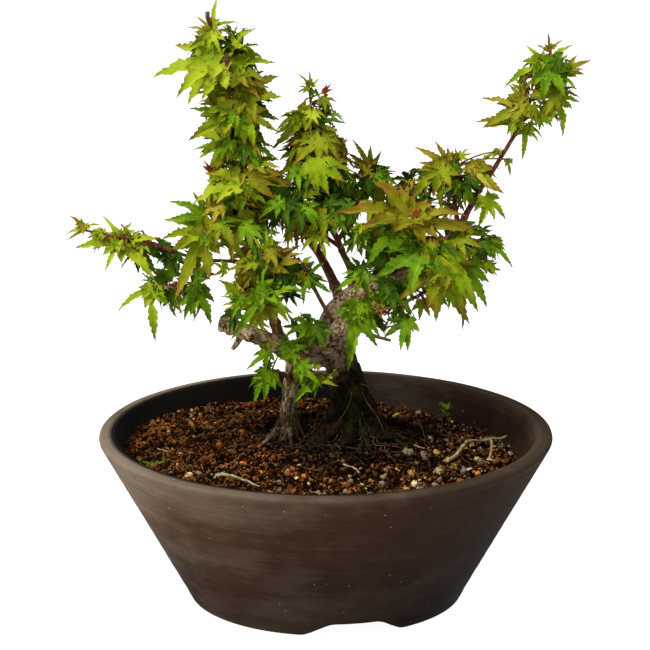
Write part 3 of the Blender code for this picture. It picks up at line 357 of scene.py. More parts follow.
# Single grains of the mix: dry fired clay from red-brown to orange, bark mould, cream pumice, grey
# grit and tufts of moss. All are matt with an open, porous face; only their colour differs.
def make_grain(name, dark, pale):
    made, add, place = new_material(name, Roughness=0.88, IOR=1.48, Specular_IOR_Level=0.05)
    face = add("TexNoise", place, 900.0, 4.0, 0.65)
    toned = add("ValToRGB", face, stops=((0.33, dark), (0.66, pale)))
    tone = add("MapRange", add("TexNoise", place, 95.0, 2.0), 0.38, 0.58, 0.62, 1.60)
    shaded = add("VectorMath", toned, tone, operation="SCALE")
    # Round and behind the stems the grains are painted dark as shade.
    return coat(made, add_wet_and_shaded_ground(add, place, shaded), face, 0.0005, 0.8)


GRAIN_FINISHES = [make_grain(*finish) for finish in (
    ("red_brown_clay", "#2a1105", "#744420"), ("dark_bark_mould", "#040100", "#1c0c04"),
    ("orange_clay", "#64340c", "#bc7628"), ("cream_pumice", "#6c6044", "#bcae88"),
    ("grey_grit", "#332c22", "#7a705c"), ("brown_clay", "#40200a", "#7e5022"),
    ("ochre_pumice", "#6a4a18", "#b08c48"), ("cushion_moss", "#141f08", "#566420"))]


def grain_shape(kind):
    """Corners and faces of a grain of unit size, as arrays."""
    mesh = bmesh.new()
    if kind == "crumb":
        bmesh.ops.create_icosphere(mesh, subdivisions=1, radius=0.5)
    else:
        bmesh.ops.create_cube(mesh, size=0.8)
        cuts = 1 if kind == "grain" else 2
        bmesh.ops.subdivide_edges(mesh, edges=mesh.edges, cuts=cuts, use_grid_fill=True)
        for vert in mesh.verts:
            vert.co = vert.co.lerp(vert.co.normalized() * 0.5, 0.72)
    mesh.verts.index_update()
    corners = np.array([vert.co[:] for vert in mesh.verts])
    faces = [[vert.index for vert in face.verts] for face in mesh.faces]
    mesh.free()
    return corners, faces


def joined(parts, smooth=True):
    """One mesh from parts of (corners, faces, finish number)."""
    corners, faces, finish, start = [], [], [], 0
    for points, sides, number in parts:
        corners.append(points)
        faces += [[start + i for i in side] for side in sides]
        finish += [number] * len(sides)
        start += len(points)
    mesh = bpy.data.meshes.new("mesh")
    mesh.from_pydata(np.concatenate(corners).tolist(), [], faces)
    mesh.polygons.foreach_set("material_index", finish)
    mesh.polygons.foreach_set("use_smooth", [smooth] * len(faces))
    mesh.update()
    return mesh


def any_turn(source):
    """A random rotation as a matrix."""
    q, r = np.linalg.qr(source.normal(size=(3, 3)))
    q = q * np.sign(np.diag(r))
    return q if np.linalg.det(q) > 0 else -q


# The stones and clods that stand out: place across and back in millimetres, size, and finish.
STONES = ((-48.1, 24.5, 3.6, 6), (-36.9, -8.3, 3, 2), (-28.2, -24.8, 2.6, 2), (-21.8, -31.2, 2.4, 2),
          (-55.3, -2.2, 2.2, 3), (-50.4, -10, 2.6, 3), (-19.9, 0.2, 2.6, 3), (1.5, -23.4, 3.4, 6),
          (25.2, 51.2, 2.4, 3), (37.7, 39.7, 2.6, 4), (33.7, -15.1, 4.4, 3), (28.7, -16, 3.4, 3),
          (42.3, -2.7, 2.4, 3), (38, -22.2, 4, 3), (38.5, -7.5, 3.6, 4), (52.5, -2.6, 3.8, 3),
          (53.9, -4.7, 2.6, 4), (57.1, -2.7, 3, 3), (61.8, 15.8, 3.8, 4), (65, 11, 3, 3),
          (45.8, -27, 4.2, 2), (52, -16.6, 2.6, 2), (27, -39.5, 3.2, 6), (18.7, -38.7, 3.4, 4),
          (29.8, -36.6, 2.8, 3), (-2.4, -45.3, 4, 3), (-18.5, -47.1, 2.8, 2), (-10, -16.6, 2.4, 2),
          (28.8, -28.5, 3.2, 6), (19.3, -32.4, 2.4, 3), (-44.6, 29.3, 1.8, 3), (-32.2, -15.5, 2.6, 4),
          (-11.7, -44.4, 4.2, 0), (47, -19, 3, 4))
TUFT_GRAINS = 60
MOSS_TUFTS = ((-58.5, -22.0, 4.2, 1.8), (59.0, 26.0, 2.4, 2.0), (43.5, 50.0, 2.2, 2.0))


def scatter(kind, count, smallest, largest, left_mix, right_mix, seed, sink, placed=()):
    """Grains strewn on the soil. The mixes give each finish's share at the left and the right edge."""
    source, shape = np.random.default_rng(seed), grain_shape(kind)
    parts = []
    while len(parts) < count:
        turn, share = source.uniform(0, math.tau), math.sqrt(source.uniform())
        size = smallest + (largest - smallest) * source.uniform() ** 1.8
        reach = wall_radius(SOIL_EDGE) - SOIL_GAP - size * 0.75
        x, y = share * reach * math.cos(turn), share * reach * math.sin(turn)
        picked = placed[len(parts)] if len(parts) < len(placed) else None
        if picked:
            x, y, size = (v / 1000 for v in picked[:3])
        if math.dist((x, y), TRUNK_FOOT) < 0.0098 and kind != "crumb":
            continue
        right = min(1.0, max(0.0, 0.42 + (x * 0.85 - y * 0.30) / 0.085 + source.uniform(-0.2, 0.2)))
        mix = (1 - right) * np.array(left_mix) + right * np.array(right_mix)
        spread_out = np.array([1.0, source.uniform(0.7, 1.0), source.uniform(0.5, 0.85)]) * size
        dents = 1.0 + source.uniform(-0.30, 0.30, (len(shape[0]), 1))
        points = (shape[0] * dents * spread_out) @ any_turn(source).T
        place = np.array([x, y, soil_surface(x, y) + size * source.uniform(*sink)])
        finish = int(source.choice(7, p=mix / mix.sum()))
        parts.append((points + place, shape[1], picked[3] if picked else finish))
    return joined(parts, kind != "crumb")


piece("soil_bed", make_soil_bed(), [make_fines()], ["soil"])
tufts, moss_turns = [], np.random.default_rng(44)
for x, y, wide, deep in MOSS_TUFTS:
    for _ in range(TUFT_GRAINS):
        tufts.append((x + wide * moss_turns.normal() * 0.5, y + deep * moss_turns.normal() * 0.5,
                      moss_turns.uniform(0.6, 1.5), 7))
for name, strewn in (
        ("soil_crumbs", ("crumb", CRUMBS, 0.0006, 0.0016,
                         (52, 40, 2, 0.5, 0.5, 14, 1), (40, 34, 2, 5, 4, 16, 4), 41, (-0.1, 0.35))),
        ("soil_grains", ("grain", GRAINS, 0.0014, 0.0028,
                         (50, 26, 5, 1.2, 1.2, 20, 2), (28, 24, 4, 14, 14, 16, 8), 42, (-0.30, 0.15))),
        ("soil_pebbles", ("pebble", PEBBLES, 0.0026, 0.0044,
                          (40, 16, 16, 3, 3, 22, 3), (12, 12, 8, 40, 26, 10, 14), 43, (-0.30, 0.05), STONES)),
        ("soil_moss", ("crumb", len(tufts), 0.0006, 0.0012,
                       (1, 0, 0, 0, 0, 0, 0), (1, 0, 0, 0, 0, 0, 0), 45, (0.1, 0.6), tufts))):
    piece(name, scatter(*strewn), GRAIN_FINISHES)

# ================================================================ trunk and old boughs
# An old stump of a trunk, grown in training and cut back hard: it flares into surface roots, leans
# left and then swings right into the main bough. A thinner stem and a knobbly cut limb join on the left.
def metres(rows):
    """Rows of sizes in millimetres, in metres."""
    return [[round(size / 1000, 7) for size in row] for row in rows]


def tapering(*rows):
    """A limb from the points along it and its radius at each, in millimetres."""
    rows = metres(rows)
    return dict(points=[row[:3] for row in rows], radii=[row[3] for row in rows])


TRUNK = tapering((10.7, 0, 56.3, 11.6), (10.3, 0.4, 61.5, 8.9), (9.2, 1, 69.5, 6.9), (6.4, 2, 79, 5.8),
                 (3.6, 3, 88, 5.8), (3.6, 3.6, 95.5, 6.1), (6.6, 4, 100.5, 5.9), (10.6, 4, 104, 5.5))
SIDE_STEM = tapering((-13, -3, 56.3, 4.7), (-12.7, -2.5, 62, 3.3), (-12.4, -2, 70, 2.7),
                     (-10.8, 0, 87, 2.6))
STUB_LIMB = tapering((3, 2.5, 86.8, 4), (-12.4, 0, 87.2, 3.2), (-22, -1, 91.6, 2.9), (-29.5, -2, 95, 2.8),
                     (-34.6, -3, 97, 2.8))
SNAG = tapering((-28.5, -2, 94.5, 1.3), (-30.5, -3, 90.5, 1.1), (-32.2, -3.5, 88.2, 0.8))
RIGHT_BOUGH = tapering((8.6, 4, 102.5, 5.5), (10.6, 4, 104, 5.5), (16.5, 3, 108.2, 4.8),
                       (24, 0, 112.5, 3.7), (33, -3, 116.5, 2.8), (40, -2, 122.5, 2))
SURFACE_ROOTS = ((*TRUNK_FOOT, (-28, -80, -135, 35, 110), 0.0205, 0.0016),
                 (*SIDE_FOOT, (-75, -150, 130), 0.0125, 0.0011))
FLARE_LOBES = 5
BARK_GRAIN = 0.00034          # size of the finest relief that is modelled


def smooth_path(points, steps):
    """A Catmull-Rom curve through the points, with this many steps between two of them."""
    points = [Vector(p) for p in points]
    ends = [2 * points[0] - points[1]] + points + [2 * points[-1] - points[-2]]
    path = []
    for a, b, c, d in zip(ends, ends[1:], ends[2:], ends[3:]):
        for t in (k / steps for k in range(steps)):
            path.append(0.5 * (2 * b + (c - a) * t + (2 * a - 5 * b + 4 * c - d) * t * t
                               + (3 * b - a - 3 * c + d) * t ** 3))
    return path + [points[-1]]


def spread(values, steps):
    """The values with this many even steps between two of them, to match smooth_path."""
    even = [a + (b - a) * k / steps for a, b in zip(values, values[1:]) for k in range(steps)]
    return even + [values[-1]]


def directions(path):
    """The way along the path at each point, and a side vector that doesn't twist."""
    last = len(path) - 1
    along = [(path[min(i + 1, last)] - path[max(i - 1, 0)]).normalized() for i in range(last + 1)]
    side, sides = along[0].orthogonal().normalized(), []
    for t in along:
        side = (side - t * side.dot(t)).normalized()
        sides.append(side)
    return along, sides


def grow_limb(mesh, limb, steps, segments, shape=None):
    """Adds a closed tapering limb: a flat grid rolled up round the limb's path, its ends filled."""
    path, radii = smooth_path(limb["points"], steps), spread(limb["radii"], steps)
    along, across = directions(path)
    made = bmesh.ops.create_grid(mesh, x_segments=segments, y_segments=len(path) - 1, size=1.0)["verts"]
    for vert in made:
        turn, i = math.pi * vert.co.x, round((vert.co.y + 1) / 2 * (len(path) - 1))
        away = math.cos(turn) * across[i] + math.sin(turn) * along[i].cross(across[i])
        vert.co = path[i] + away * radii[i] * (shape(path[i], turn) if shape else 1.0)
    bmesh.ops.remove_doubles(mesh, verts=made, dist=1e-6)
    bmesh.ops.holes_fill(mesh, edges=[e for e in mesh.edges if e.is_boundary], sides=0)
    bmesh.ops.recalc_face_normals(mesh, faces=mesh.faces)


def root_flare(limb, phase):
    """Buttresses that fade out above the ground, and shallow flutes above them."""
    def shape(centre, turn):
        height = (centre.z - limb["points"][0][2]) / 0.018
        depth = 0.30 * max(0.0, 1.0 - height) ** 1.5 + 0.05
        return 1.0 + depth * math.cos(FLARE_LOBES * turn + phase) + 0.05 * math.sin(3 * turn + height * 2)
    return shape


def grow_surface_roots(mesh):
    for x, y, turns, reach, radius in SURFACE_ROOTS:
        for k, turn in enumerate(math.radians(t) for t in turns):
            out = Vector((math.cos(turn), math.sin(turn), 0.0))
            bend = Vector((-out.y, out.x, 0.0)) * (0.0016 if k % 2 else -0.0016)
            points = []
            for share, rise in ((0.30, 0.0038), (0.62, 0.0012), (0.82, 0.0), (1.0, -0.0008)):
                at = Vector((x, y, 0.0)) + out * reach * share + bend * share
                points.append((at.x, at.y, soil_height(at.x, at.y) + radius * (1.0 - 0.62 * share) + rise))
            grow_limb(mesh, dict(points=points, radii=[radius * s for s in (0.96, 0.76, 0.6, 0.35)]), 5, 10)


def fused(mesh, grain):
    """The limbs in the bmesh as one skin of even small faces."""
    data = mesh_of(mesh)
    whole = new_object("whole", data)
    skin = whole.modifiers.new("skin", "REMESH")
    skin.mode, skin.voxel_size = "VOXEL", grain
    done = bpy.data.meshes.new_from_object(whole.evaluated_get(bpy.context.evaluated_depsgraph_get()))
    bpy.data.objects.remove(whole)
    bpy.data.meshes.remove(data)
    return done


def carve_bark(data, limbs):
    """Lumps, cross cracks and long fissures, laid out along the nearest limb, with their depth kept."""
    samples = []
    for limb in limbs:
        path, radii = smooth_path(limb["points"], 6), spread(limb["radii"], 6)
        along, across = directions(path)
        run = 0.0
        for i, point in enumerate(path):
            run += (point - path[i - 1]).length if i else 0.0
            samples.append((point, along[i], across[i], run + len(samples) * 0.01, radii[i]))
    tree = kdtree.KDTree(len(samples))
    for i, sample in enumerate(samples):
        tree.insert(sample[0], i)
    tree.balance()
    kept = data.attributes.new("relief", "FLOAT", "POINT")
    normals = [v.normal.copy() for v in data.vertices]
    values = []
    for vert, normal in zip(data.vertices, normals):
        point, along, across, run, radius = samples[tree.find(vert.co)[1]]
        offset = vert.co - point
        drawn_out = (run + offset.dot(along)) * 0.24
        here = Vector((offset.dot(across), offset.dot(along.cross(across)), drawn_out))
        lumps = noise.noise(vert.co * 170.0)
        plates = 1.0 - abs(noise.noise(here * 620.0)) * 2.4
        cracks = 1.0 - abs(noise.noise(vert.co * 950.0 + Vector((7, 3, 1)))) * 2.2
        fissure = max(0.0, plates) ** 2 * 0.75 + max(0.0, cracks) ** 3 * 0.18
        fine = noise.noise(vert.co * 2100.0)
        scale = min(1.0, radius / 0.0045)
        move = 0.00055 * lumps - 0.00055 * fissure + 0.00012 * fine
        vert.co += normal * move * scale
        values.append(lumps * 0.35 - fissure + fine * 0.2)
    kept.data.foreach_set("value", values)
    data.update()


# Old maple bark: pale grey-brown plates of cork with darker fissures, matt and rough. It is painted
# nearly black as shade at the right of the foot, under the crown, and has thin green moss low down in the
# shade.
def make_old_bark():
    made, add, place = new_material("weathered_maple_bark", Roughness=0.9, IOR=1.45, Specular_IOR_Level=0.07)
    axes = add("SeparateXYZ", place)
    relief = add("Attribute", attribute_name="relief").outputs["Fac"]
    mottle = add("TexNoise", place, 260.0, 5.0, 0.65)
    level = add("Math", mottle, 0.9, relief, operation="MULTIPLY_ADD")
    cork = add("ValToRGB", add("MapRange", level, -0.45, 0.75, 0.0, 1.0),
               stops=((0.05, "#33210f"), (0.24, "#6e5132"), (0.44, "#9c8262"), (0.74, "#cbb592")))
    warm = add("TexNoise", place, 120.0, 2.0)
    flush = add("MapRange", warm, 0.52, 0.66, 0.0, 0.45)
    tinted = add("Mix", flush, cork, "#7d5442", data_type="RGBA")
    # Painted shade at the foot, under the crown: near black from about 25 mm above the soil downwards,
    # strongest on the right.
    lean = add("Math", axes.outputs["X"], -1.3, axes.outputs["Z"], operation="MULTIPLY_ADD")
    ragged = add("Math", warm, 0.016, lean, operation="MULTIPLY_ADD")
    foot_painted_shade = add("MapRange", ragged, 0.097, 0.076, 0.0, 0.97)
    # The bark is browner and darker towards the bottom, on the stems, and paler on the boughs above.
    height_tone = add("MapRange", axes.outputs["Z"], 0.066, 0.092, 0.42, 1.0)
    browned = add("VectorMath", tinted, height_tone, operation="SCALE")
    foot_shaded = add("Mix", foot_painted_shade, browned, "#080401", data_type="RGBA")
    low = add("MapRange", axes.outputs["Z"], 0.094, 0.072, 0.0, 0.16)
    grown = add("Math", add("TexNoise", place, 150.0, 4.0), low, operation="ADD")
    green = add("MapRange", grown, 0.66, 0.74, 0.0, 0.45)
    mossed = add("Mix", green, foot_shaded, "#2a3608", data_type="RGBA")
    return coat(made, mossed, add("TexNoise", place, 1500.0, 4.0, 0.7), 0.0005, 0.9)


old_wood = bmesh.new()
grow_limb(old_wood, TRUNK, 6, 48, root_flare(TRUNK, 0.6))
grow_limb(old_wood, SIDE_STEM, 6, 28, root_flare(SIDE_STEM, 1.2))
for old_limb in (STUB_LIMB, SNAG, RIGHT_BOUGH):
    grow_limb(old_wood, old_limb, 5, 28)
# Knuckles where boughs were cut off, and the burr at the stub's end: place and size in millimetres.
KNUCKLES = ((-34.2, -3, 97, 2.9), (-26.2, -4.5, 93.5, 2.6), (-16, -1.5, 90.5, 3.6), (-20.5, 2, 90, 3),
            (0.5, -1, 89, 4.8), (12, 0, 103.5, 4.2), (-11.8, -3, 86.8, 3.4), (4.5, -3.5, 95.5, 3.4),
            (19.2, 0.5, 107.5, 3.6), (-0.8, 1.2, 83.6, 3), (-4.8, 0.8, 84, 2.6), (-33, -5, 95.5, 2),
            (-34.8, -2.2, 98.6, 1.7), (-32.5, -3, 99, 1.5), (-35.8, -4, 95.8, 1.4), (-9, 0.5, 88.5, 3))
for x, y, z, size in metres(KNUCKLES):
    bmesh.ops.create_icosphere(old_wood, subdivisions=3, radius=size, matrix=Matrix.Translation((x, y, z)))
grow_surface_roots(old_wood)
old_skin = fused(old_wood, BARK_GRAIN)
carve_bark(old_skin, [TRUNK, SIDE_STEM, STUB_LIMB, SNAG, RIGHT_BOUGH])
old_skin.shade_smooth()
piece("old_wood", old_skin, [make_old_bark()],
      ["trunk", "side_stem", "stub_limb", "right_bough"])

# ================================================================ young boughs
# Boughs of a few years' growth, with thin smooth bark that is red-brown with paler corky streaks and
# a ring at each node. Each one starts inside its parent and ends where its leaves begin.
YOUNG_LIMBS = {
    "centre_bough": tapering((9, 4, 101, 1.8), (8.8, 5, 113, 1.3), (6, 7, 119.5, 1.1), (3.2, 10, 125.8, 1)),
    "left_riser": tapering((-15, -0.5, 88.3, 2.4), (-18, -1, 98.5, 1.7), (-21.9, 0, 108.4, 1.2),
                           (-25.4, 2, 117.8, 1), (-27.2, 3, 123.5, 0.9)),
    "left_reach": tapering((-25.4, 2, 117.8, 0.7), (-33, 0, 118.6, 0.6), (-43, -3, 120, 0.55),
                           (-51, -5, 122.8, 0.5)),
    "right_upper": tapering((40, -2, 122.5, 1.6), (45.2, 0, 130, 1.2), (52, 1, 142.5, 0.9),
                            (56.3, 1, 149.2, 0.8), (64, 2, 162, 0.7)),
    "right_reach": tapering((33, -3, 116.5, 1.3), (37.5, -8.5, 115.2, 1), (42.5, -12.5, 116.5, 0.9)),
    "back_bough": tapering((6, 3.6, 98.5, 2.4), (3, 14, 107, 1.8), (-3, 24, 116.5, 1.4),
                           (-10, 31, 125, 1.1)),
    "back_right_bough": tapering((20, 1.5, 110.5, 1.8), (24, 12, 114.5, 1.4), (29, 23, 120, 1.2),
                                 (33, 31, 127, 1)),
    "front_twig": tapering((3, 3, 95.5, 0.9), (1, -5, 101, 0.8), (-2.2, -8, 107.5, 0.7),
                           (-4.8, -9, 113, 0.6)),
    "bare_twig": tapering((4, 3, 93.5, 0.9), (12, 0, 94, 0.7), (17, -3, 92.8, 0.6), (22.2, -5, 91.8, 0.5)),
    "foot_twig": tapering((-12.4, -2, 76.5, 0.9), (-14, -7, 80, 0.7), (-16.5, -10.5, 82.2, 0.6)),
    "low_twig": tapering((6.4, 2, 79, 0.9), (2, -7.5, 80, 0.7), (-0.5, -12, 81.8, 0.6)),
}


# Young maple bark: thin, smooth and slightly waxy, red-brown to purple-brown on the newest wood,
# with fine pale lengthwise streaks; greyer and duller on the thicker boughs below.
def make_young_bark():
    made, add, place = new_material("young_maple_bark", Roughness=0.58, IOR=1.46, Specular_IOR_Level=0.25)
    axes = add("SeparateXYZ", place)
    streak = add("TexNoise", add("Mapping", place, Scale=(1500.0, 1500.0, 420.0)), 1.0, 4.0, 0.6)
    new = add("ValToRGB", streak, stops=((0.34, "#34160b"), (0.52, "#62301e"), (0.70, "#94633f")))
    old = add("ValToRGB", streak, stops=((0.34, "#4c3018"), (0.52, "#7c5a3a"), (0.70, "#a8885e")))
    low = add("MapRange", axes.outputs["Z"], 0.112, 0.098, 0.0, 0.8)
    return coat(made, add("Mix", low, new, old, data_type="RGBA"), streak, 0.0003, 0.6)


def noded(count, phase):
    """Rings at the nodes and a little unevenness between them, for a limb of this many nodes."""
    def shape(centre, turn):
        swell = max(0.0, math.cos((centre.z + centre.x * 0.6) * math.tau / count + phase)) ** 10
        at = centre * 600.0 + Vector((math.cos(turn), math.sin(turn), phase))
        return 1.0 + 0.26 * swell + 0.10 * noise.noise(at)
    return shape


young_wood = bmesh.new()
for number, bough in enumerate(YOUNG_LIMBS.values()):
    tube = bmesh.new()
    grow_limb(tube, bough, 12, 14, noded(0.0062 + 0.0006 * (number % 3), number * 1.7))
    part = mesh_of(tube)
    young_wood.from_mesh(part)
    bpy.data.meshes.remove(part)
young_bark = make_young_bark()
piece("young_boughs", mesh_of(young_wood), [young_bark], list(YOUNG_LIMBS))

# ================================================================ fine roots and litter
# A training bonsai is lifted often, so hair roots show round both stems. They cling to the flare and
# run out over the soil, with a few dry straws, a tuft of moss and a weed's seedling left lying there.
# Fans of hair roots: place, radius of the foot, how many, from and to which way, and where they start.
ROOT_FANS = ((*TRUNK_FOOT, 0.0100, 84, (-190, 70), 0.72), (*SIDE_FOOT, 0.0046, 64, (-240, 20), 0.8),
             (-0.0020, -0.002, 0.0070, 40, (-150, -10), 0.3))
FIBRES, FIBRE_REACH = 420, 0.066
# Stubs of leaders that were shortened, and one dead twig.
CUT_STUBS = (tapering((-37.6, 3, 197.4, 0.7), (-39.6, 2, 201.7, 0.8), (-39.8, 2, 204.2, 0.8)),
             tapering((-29.9, 2, 178.5, 0.7), (-31.1, -1.5, 181.6, 0.9), (-32.5, -2.5, 185.8, 0.9),
                      (-33.5, -3, 189.3, 1)),
             tapering((-31, 4, 181, 0.6), (-29.1, 6, 186.5, 0.5), (-28.4, 6, 192.3, 0.45),
                      (-27.8, 6, 198, 0.35)))
# Dry straws and dead roots on the soil: points in millimetres, thickest radius.
STRAWS = (
    (((41.3, -16, 51.9), (45.1, -9, 51.9), (49.1, 2, 53.3), (54.6, 8, 52), (63.8, 15, 51.3)), 0.8),
    (((58, 11, 51.4), (58, 5, 50.2), (57.1, -3, 48.4), (61.7, -3, 47.9)), 0.62),
    (((-36.8, -40, 54.4), (-32.4, -40.7, 54.5), (-26.4, -44.5, 53.8), (-21.9, -48.5, 53.2)), 0.62),
    (((-34, -37.5, 54.6), (-36.2, -39.5, 54.4), (-37.5, -42.5, 53.9)), 0.4),
    (((6, -31, 55.4), (9.5, -33.5, 55), (11, -36.5, 54.2)), 0.34),
    (((30.5, -12, 56.3), (34, -13, 55.6)), 0.4),
    (((-58, -12, 55), (-54, -14.5, 55)), 0.32))


def unit(vector):
    return np.asarray(vector, float) / max(1e-9, float(np.linalg.norm(vector)))


def make_tube(path, radii, sides):
    """Corners and faces of a thin closed tube along a few points, as arrays."""
    path = np.asarray(path, float)
    along = np.gradient(path, axis=0)
    along /= np.linalg.norm(along, axis=1)[:, None]
    first = np.cross(along, (0.31, 0.87, 0.38))
    first /= np.linalg.norm(first, axis=1)[:, None]
    second = np.cross(along, first)
    turns = np.arange(sides) * math.tau / sides
    ring = np.cos(turns)[None, :, None] * first[:, None] + np.sin(turns)[None, :, None] * second[:, None]
    points = (path[:, None] + ring * np.asarray(radii)[:, None, None]).reshape(-1, 3)
    last = (len(path) - 1) * sides
    faces = []
    for start in range(0, last, sides):
        for k in range(sides):
            after = start + (k + 1) % sides
            faces.append([start + k, after, after + sides, start + k + sides])
    return points, faces + [list(range(sides))[::-1], [last + k for k in range(sides)]]


def tube_mesh(tubes):
    return joined([(points, faces, 0) for points, faces in tubes])


def fine_path(points, steps):
    """A smooth path through points given in millimetres, as an array in metres."""
    return np.array([point[:] for point in smooth_path(metres(points), steps)])


# The longest fine roots lie bare, from the stems to the soil: points in millimetres.
LONG_ROOTS = (
    ((11.8, -5, 76.3), (18, -4, 74.2), (23.9, -2, 69.7), (28.7, -5, 67), (32.4, -8, 63.5),
     (34.4, -12, 57.9)),
    ((-14.1, -6, 73.7), (-19.2, -9, 69.9), (-24, -11, 68.4), (-30.1, -13, 66.8), (-35.5, -15, 64.2)),
    ((-11.7, -7, 71.9), (-10.3, -10, 67.7), (-8.9, -12, 63.3), (-7.5, -14, 60.3)),
    ((-8.9, -6, 70.1), (-8.9, -9, 66), (-9.9, -12, 62.6)),
    ((12.4, -7, 74), (14.5, -9, 70.3), (17.5, -12, 66.9), (19.9, -15, 62)),
    ((9, -9, 74.6), (7.9, -12, 70.8), (5.2, -14, 66.7), (1.8, -16, 62.7)))


def grow_hair_roots():
    """Thin wandering roots that start on the flare a little above the soil and end in it."""
    source, tubes = np.random.default_rng(77), []
    for x, y, foot, count, turns, nearest in ROOT_FANS:
        for _ in range(count):
            turn = math.radians(source.uniform(*turns))
            thick = 0.00009 + 0.00024 * source.uniform() ** 2.0
            reach, rise = source.uniform(1.25, 3.0), source.uniform(0.001, 0.011)
            path, steps = [], 12
            for i in range(steps + 1):
                share = i / steps
                turn += source.normal(0, 0.12)
                drawn_in = 1.0 - 0.22 * (1 - share) * rise / 0.011
                out = foot * (nearest + (reach - nearest) * share ** 1.25) * drawn_in
                px, py = x + out * math.cos(turn), y + out * math.sin(turn)
                lift = rise * max(0.0, 1 - share * 1.35) ** 1.3 + thick * 0.6 + source.normal(0, 0.00025)
                path.append((px, py, soil_surface(px, py) + lift if i < steps else GROUND - 0.006))
            tubes.append(make_tube(path, np.linspace(thick, thick * 0.45, steps + 1), 6))
    for points in LONG_ROOTS:
        path = fine_path(points, 8)
        path += source.normal(0, 0.00005, path.shape)
        tubes.append(make_tube(path, np.linspace(0.00021, 0.00011, len(path)), 6))
    return tube_mesh(tubes)


def lay_straws():
    source, tubes = np.random.default_rng(78), []
    for points, thick in STRAWS:
        path = fine_path(points, 6)
        knobs = 1 - 0.55 * np.linspace(0, 1, len(path)) + source.uniform(-0.14, 0.14, len(path))
        tubes.append(make_tube(path + source.normal(0, 0.00012, path.shape), thick / 1000 * knobs, 7))
    return tube_mesh(tubes)


def strew_fibres():
    """Short fine bits of dead root in the loose surface."""
    source, tubes = np.random.default_rng(79), []
    for _ in range(FIBRES):
        turn, share = source.uniform(0, math.tau), math.sqrt(source.uniform())
        way = source.uniform(0, math.tau)
        x, y = FIBRE_REACH * share * math.cos(turn), FIBRE_REACH * share * math.sin(turn)
        half = 0.0008 + 0.0030 * source.uniform() ** 2
        path = []
        for k in (-1, 0, 1):
            px, py = x + k * half * math.cos(way + 0.3 * k), y + k * half * math.sin(way + 0.3 * k)
            path.append((px, py, soil_surface(px, py) + source.uniform(0.0005, 0.0014)))
        tubes.append(make_tube(path, np.full(3, source.uniform(0.00006, 0.00017)), 4))
    return tube_mesh(tubes)


# Dead straw and root bark: dry, fibrous and matt, pale buff with darker flecks where it was wet.
def make_fibre(name, dark, pale, wet_and_shaded=False):
    made, add, place = new_material(name, Roughness=0.85, IOR=1.46, Specular_IOR_Level=0.15)
    fleck = add("TexNoise", place, 420.0, 4.0, 0.7)
    skin = add("ValToRGB", fleck, stops=((0.36, dark), (0.64, pale)))
    # Where asked, the fibres take the painted shade round and behind the stems.
    return coat(made, add_wet_and_shaded_ground(add, place, skin) if wet_and_shaded else skin, fleck, 0.0004, 0.7)


piece("hair_roots", grow_hair_roots(), [make_fibre("root_bark", "#1a0d04", "#5e442a")])
piece("dry_straws", lay_straws(), [make_fibre("dry_straw", "#6e5c3c", "#b6a67c")])
piece("root_fibres", strew_fibres(), [make_fibre("dead_root", "#33200f", "#8c6e48", True)])
cut_stubs = [make_tube([point[:] for point in smooth_path(stub["points"], 4)], spread(stub["radii"], 4), 9)
             for stub in CUT_STUBS]
piece("cut_stubs", tube_mesh(cut_stubs), [young_bark])

# ================================================================ leaves, stalks and twigs
# Small deeply cut leaves of seven toothed lobes, in pairs on thin red-green stalks. They stand on side
# twigs that branch in pairs from each bough's leader, and end in a pair of leaves round a red bud.
LOBES = ((0.0, 1.0), (39.0, 0.86), (79.0, 0.58), (121.0, 0.28))
NOTCHES = ((19.5, 0.33), (59.0, 0.29), (100.0, 0.19), (160.0, 0.07))
# From notch to tip along one edge of a lobe: place along it, and half-width; each tooth, then its cut.
LOBE_EDGE = ((0.46, 0.150), (0.48, 0.116), (0.58, 0.150), (0.60, 0.106), (0.70, 0.120), (0.72, 0.078),
             (0.81, 0.076), (0.83, 0.042), (0.91, 0.036), (0.92, 0.018))
STALK_RADIUS = 0.00026
STEM_RADIUS = 0.00080
TWIG_RADIUS = 0.00042
NODE_SPACING = 0.0036         # between pairs of buds along a leader
LEAF_SPACING = 0.0021         # between pairs of leaves along a side twig
TWIG_ROOM = 0.0095            # the least room in which a side twig grows
LOBE_SHARE = 0.0018           # leaves placed nearer than this are the lobes of one leaf
CROWN_MIDDLE, CROWN_DEPTH = 0.009, 0.022


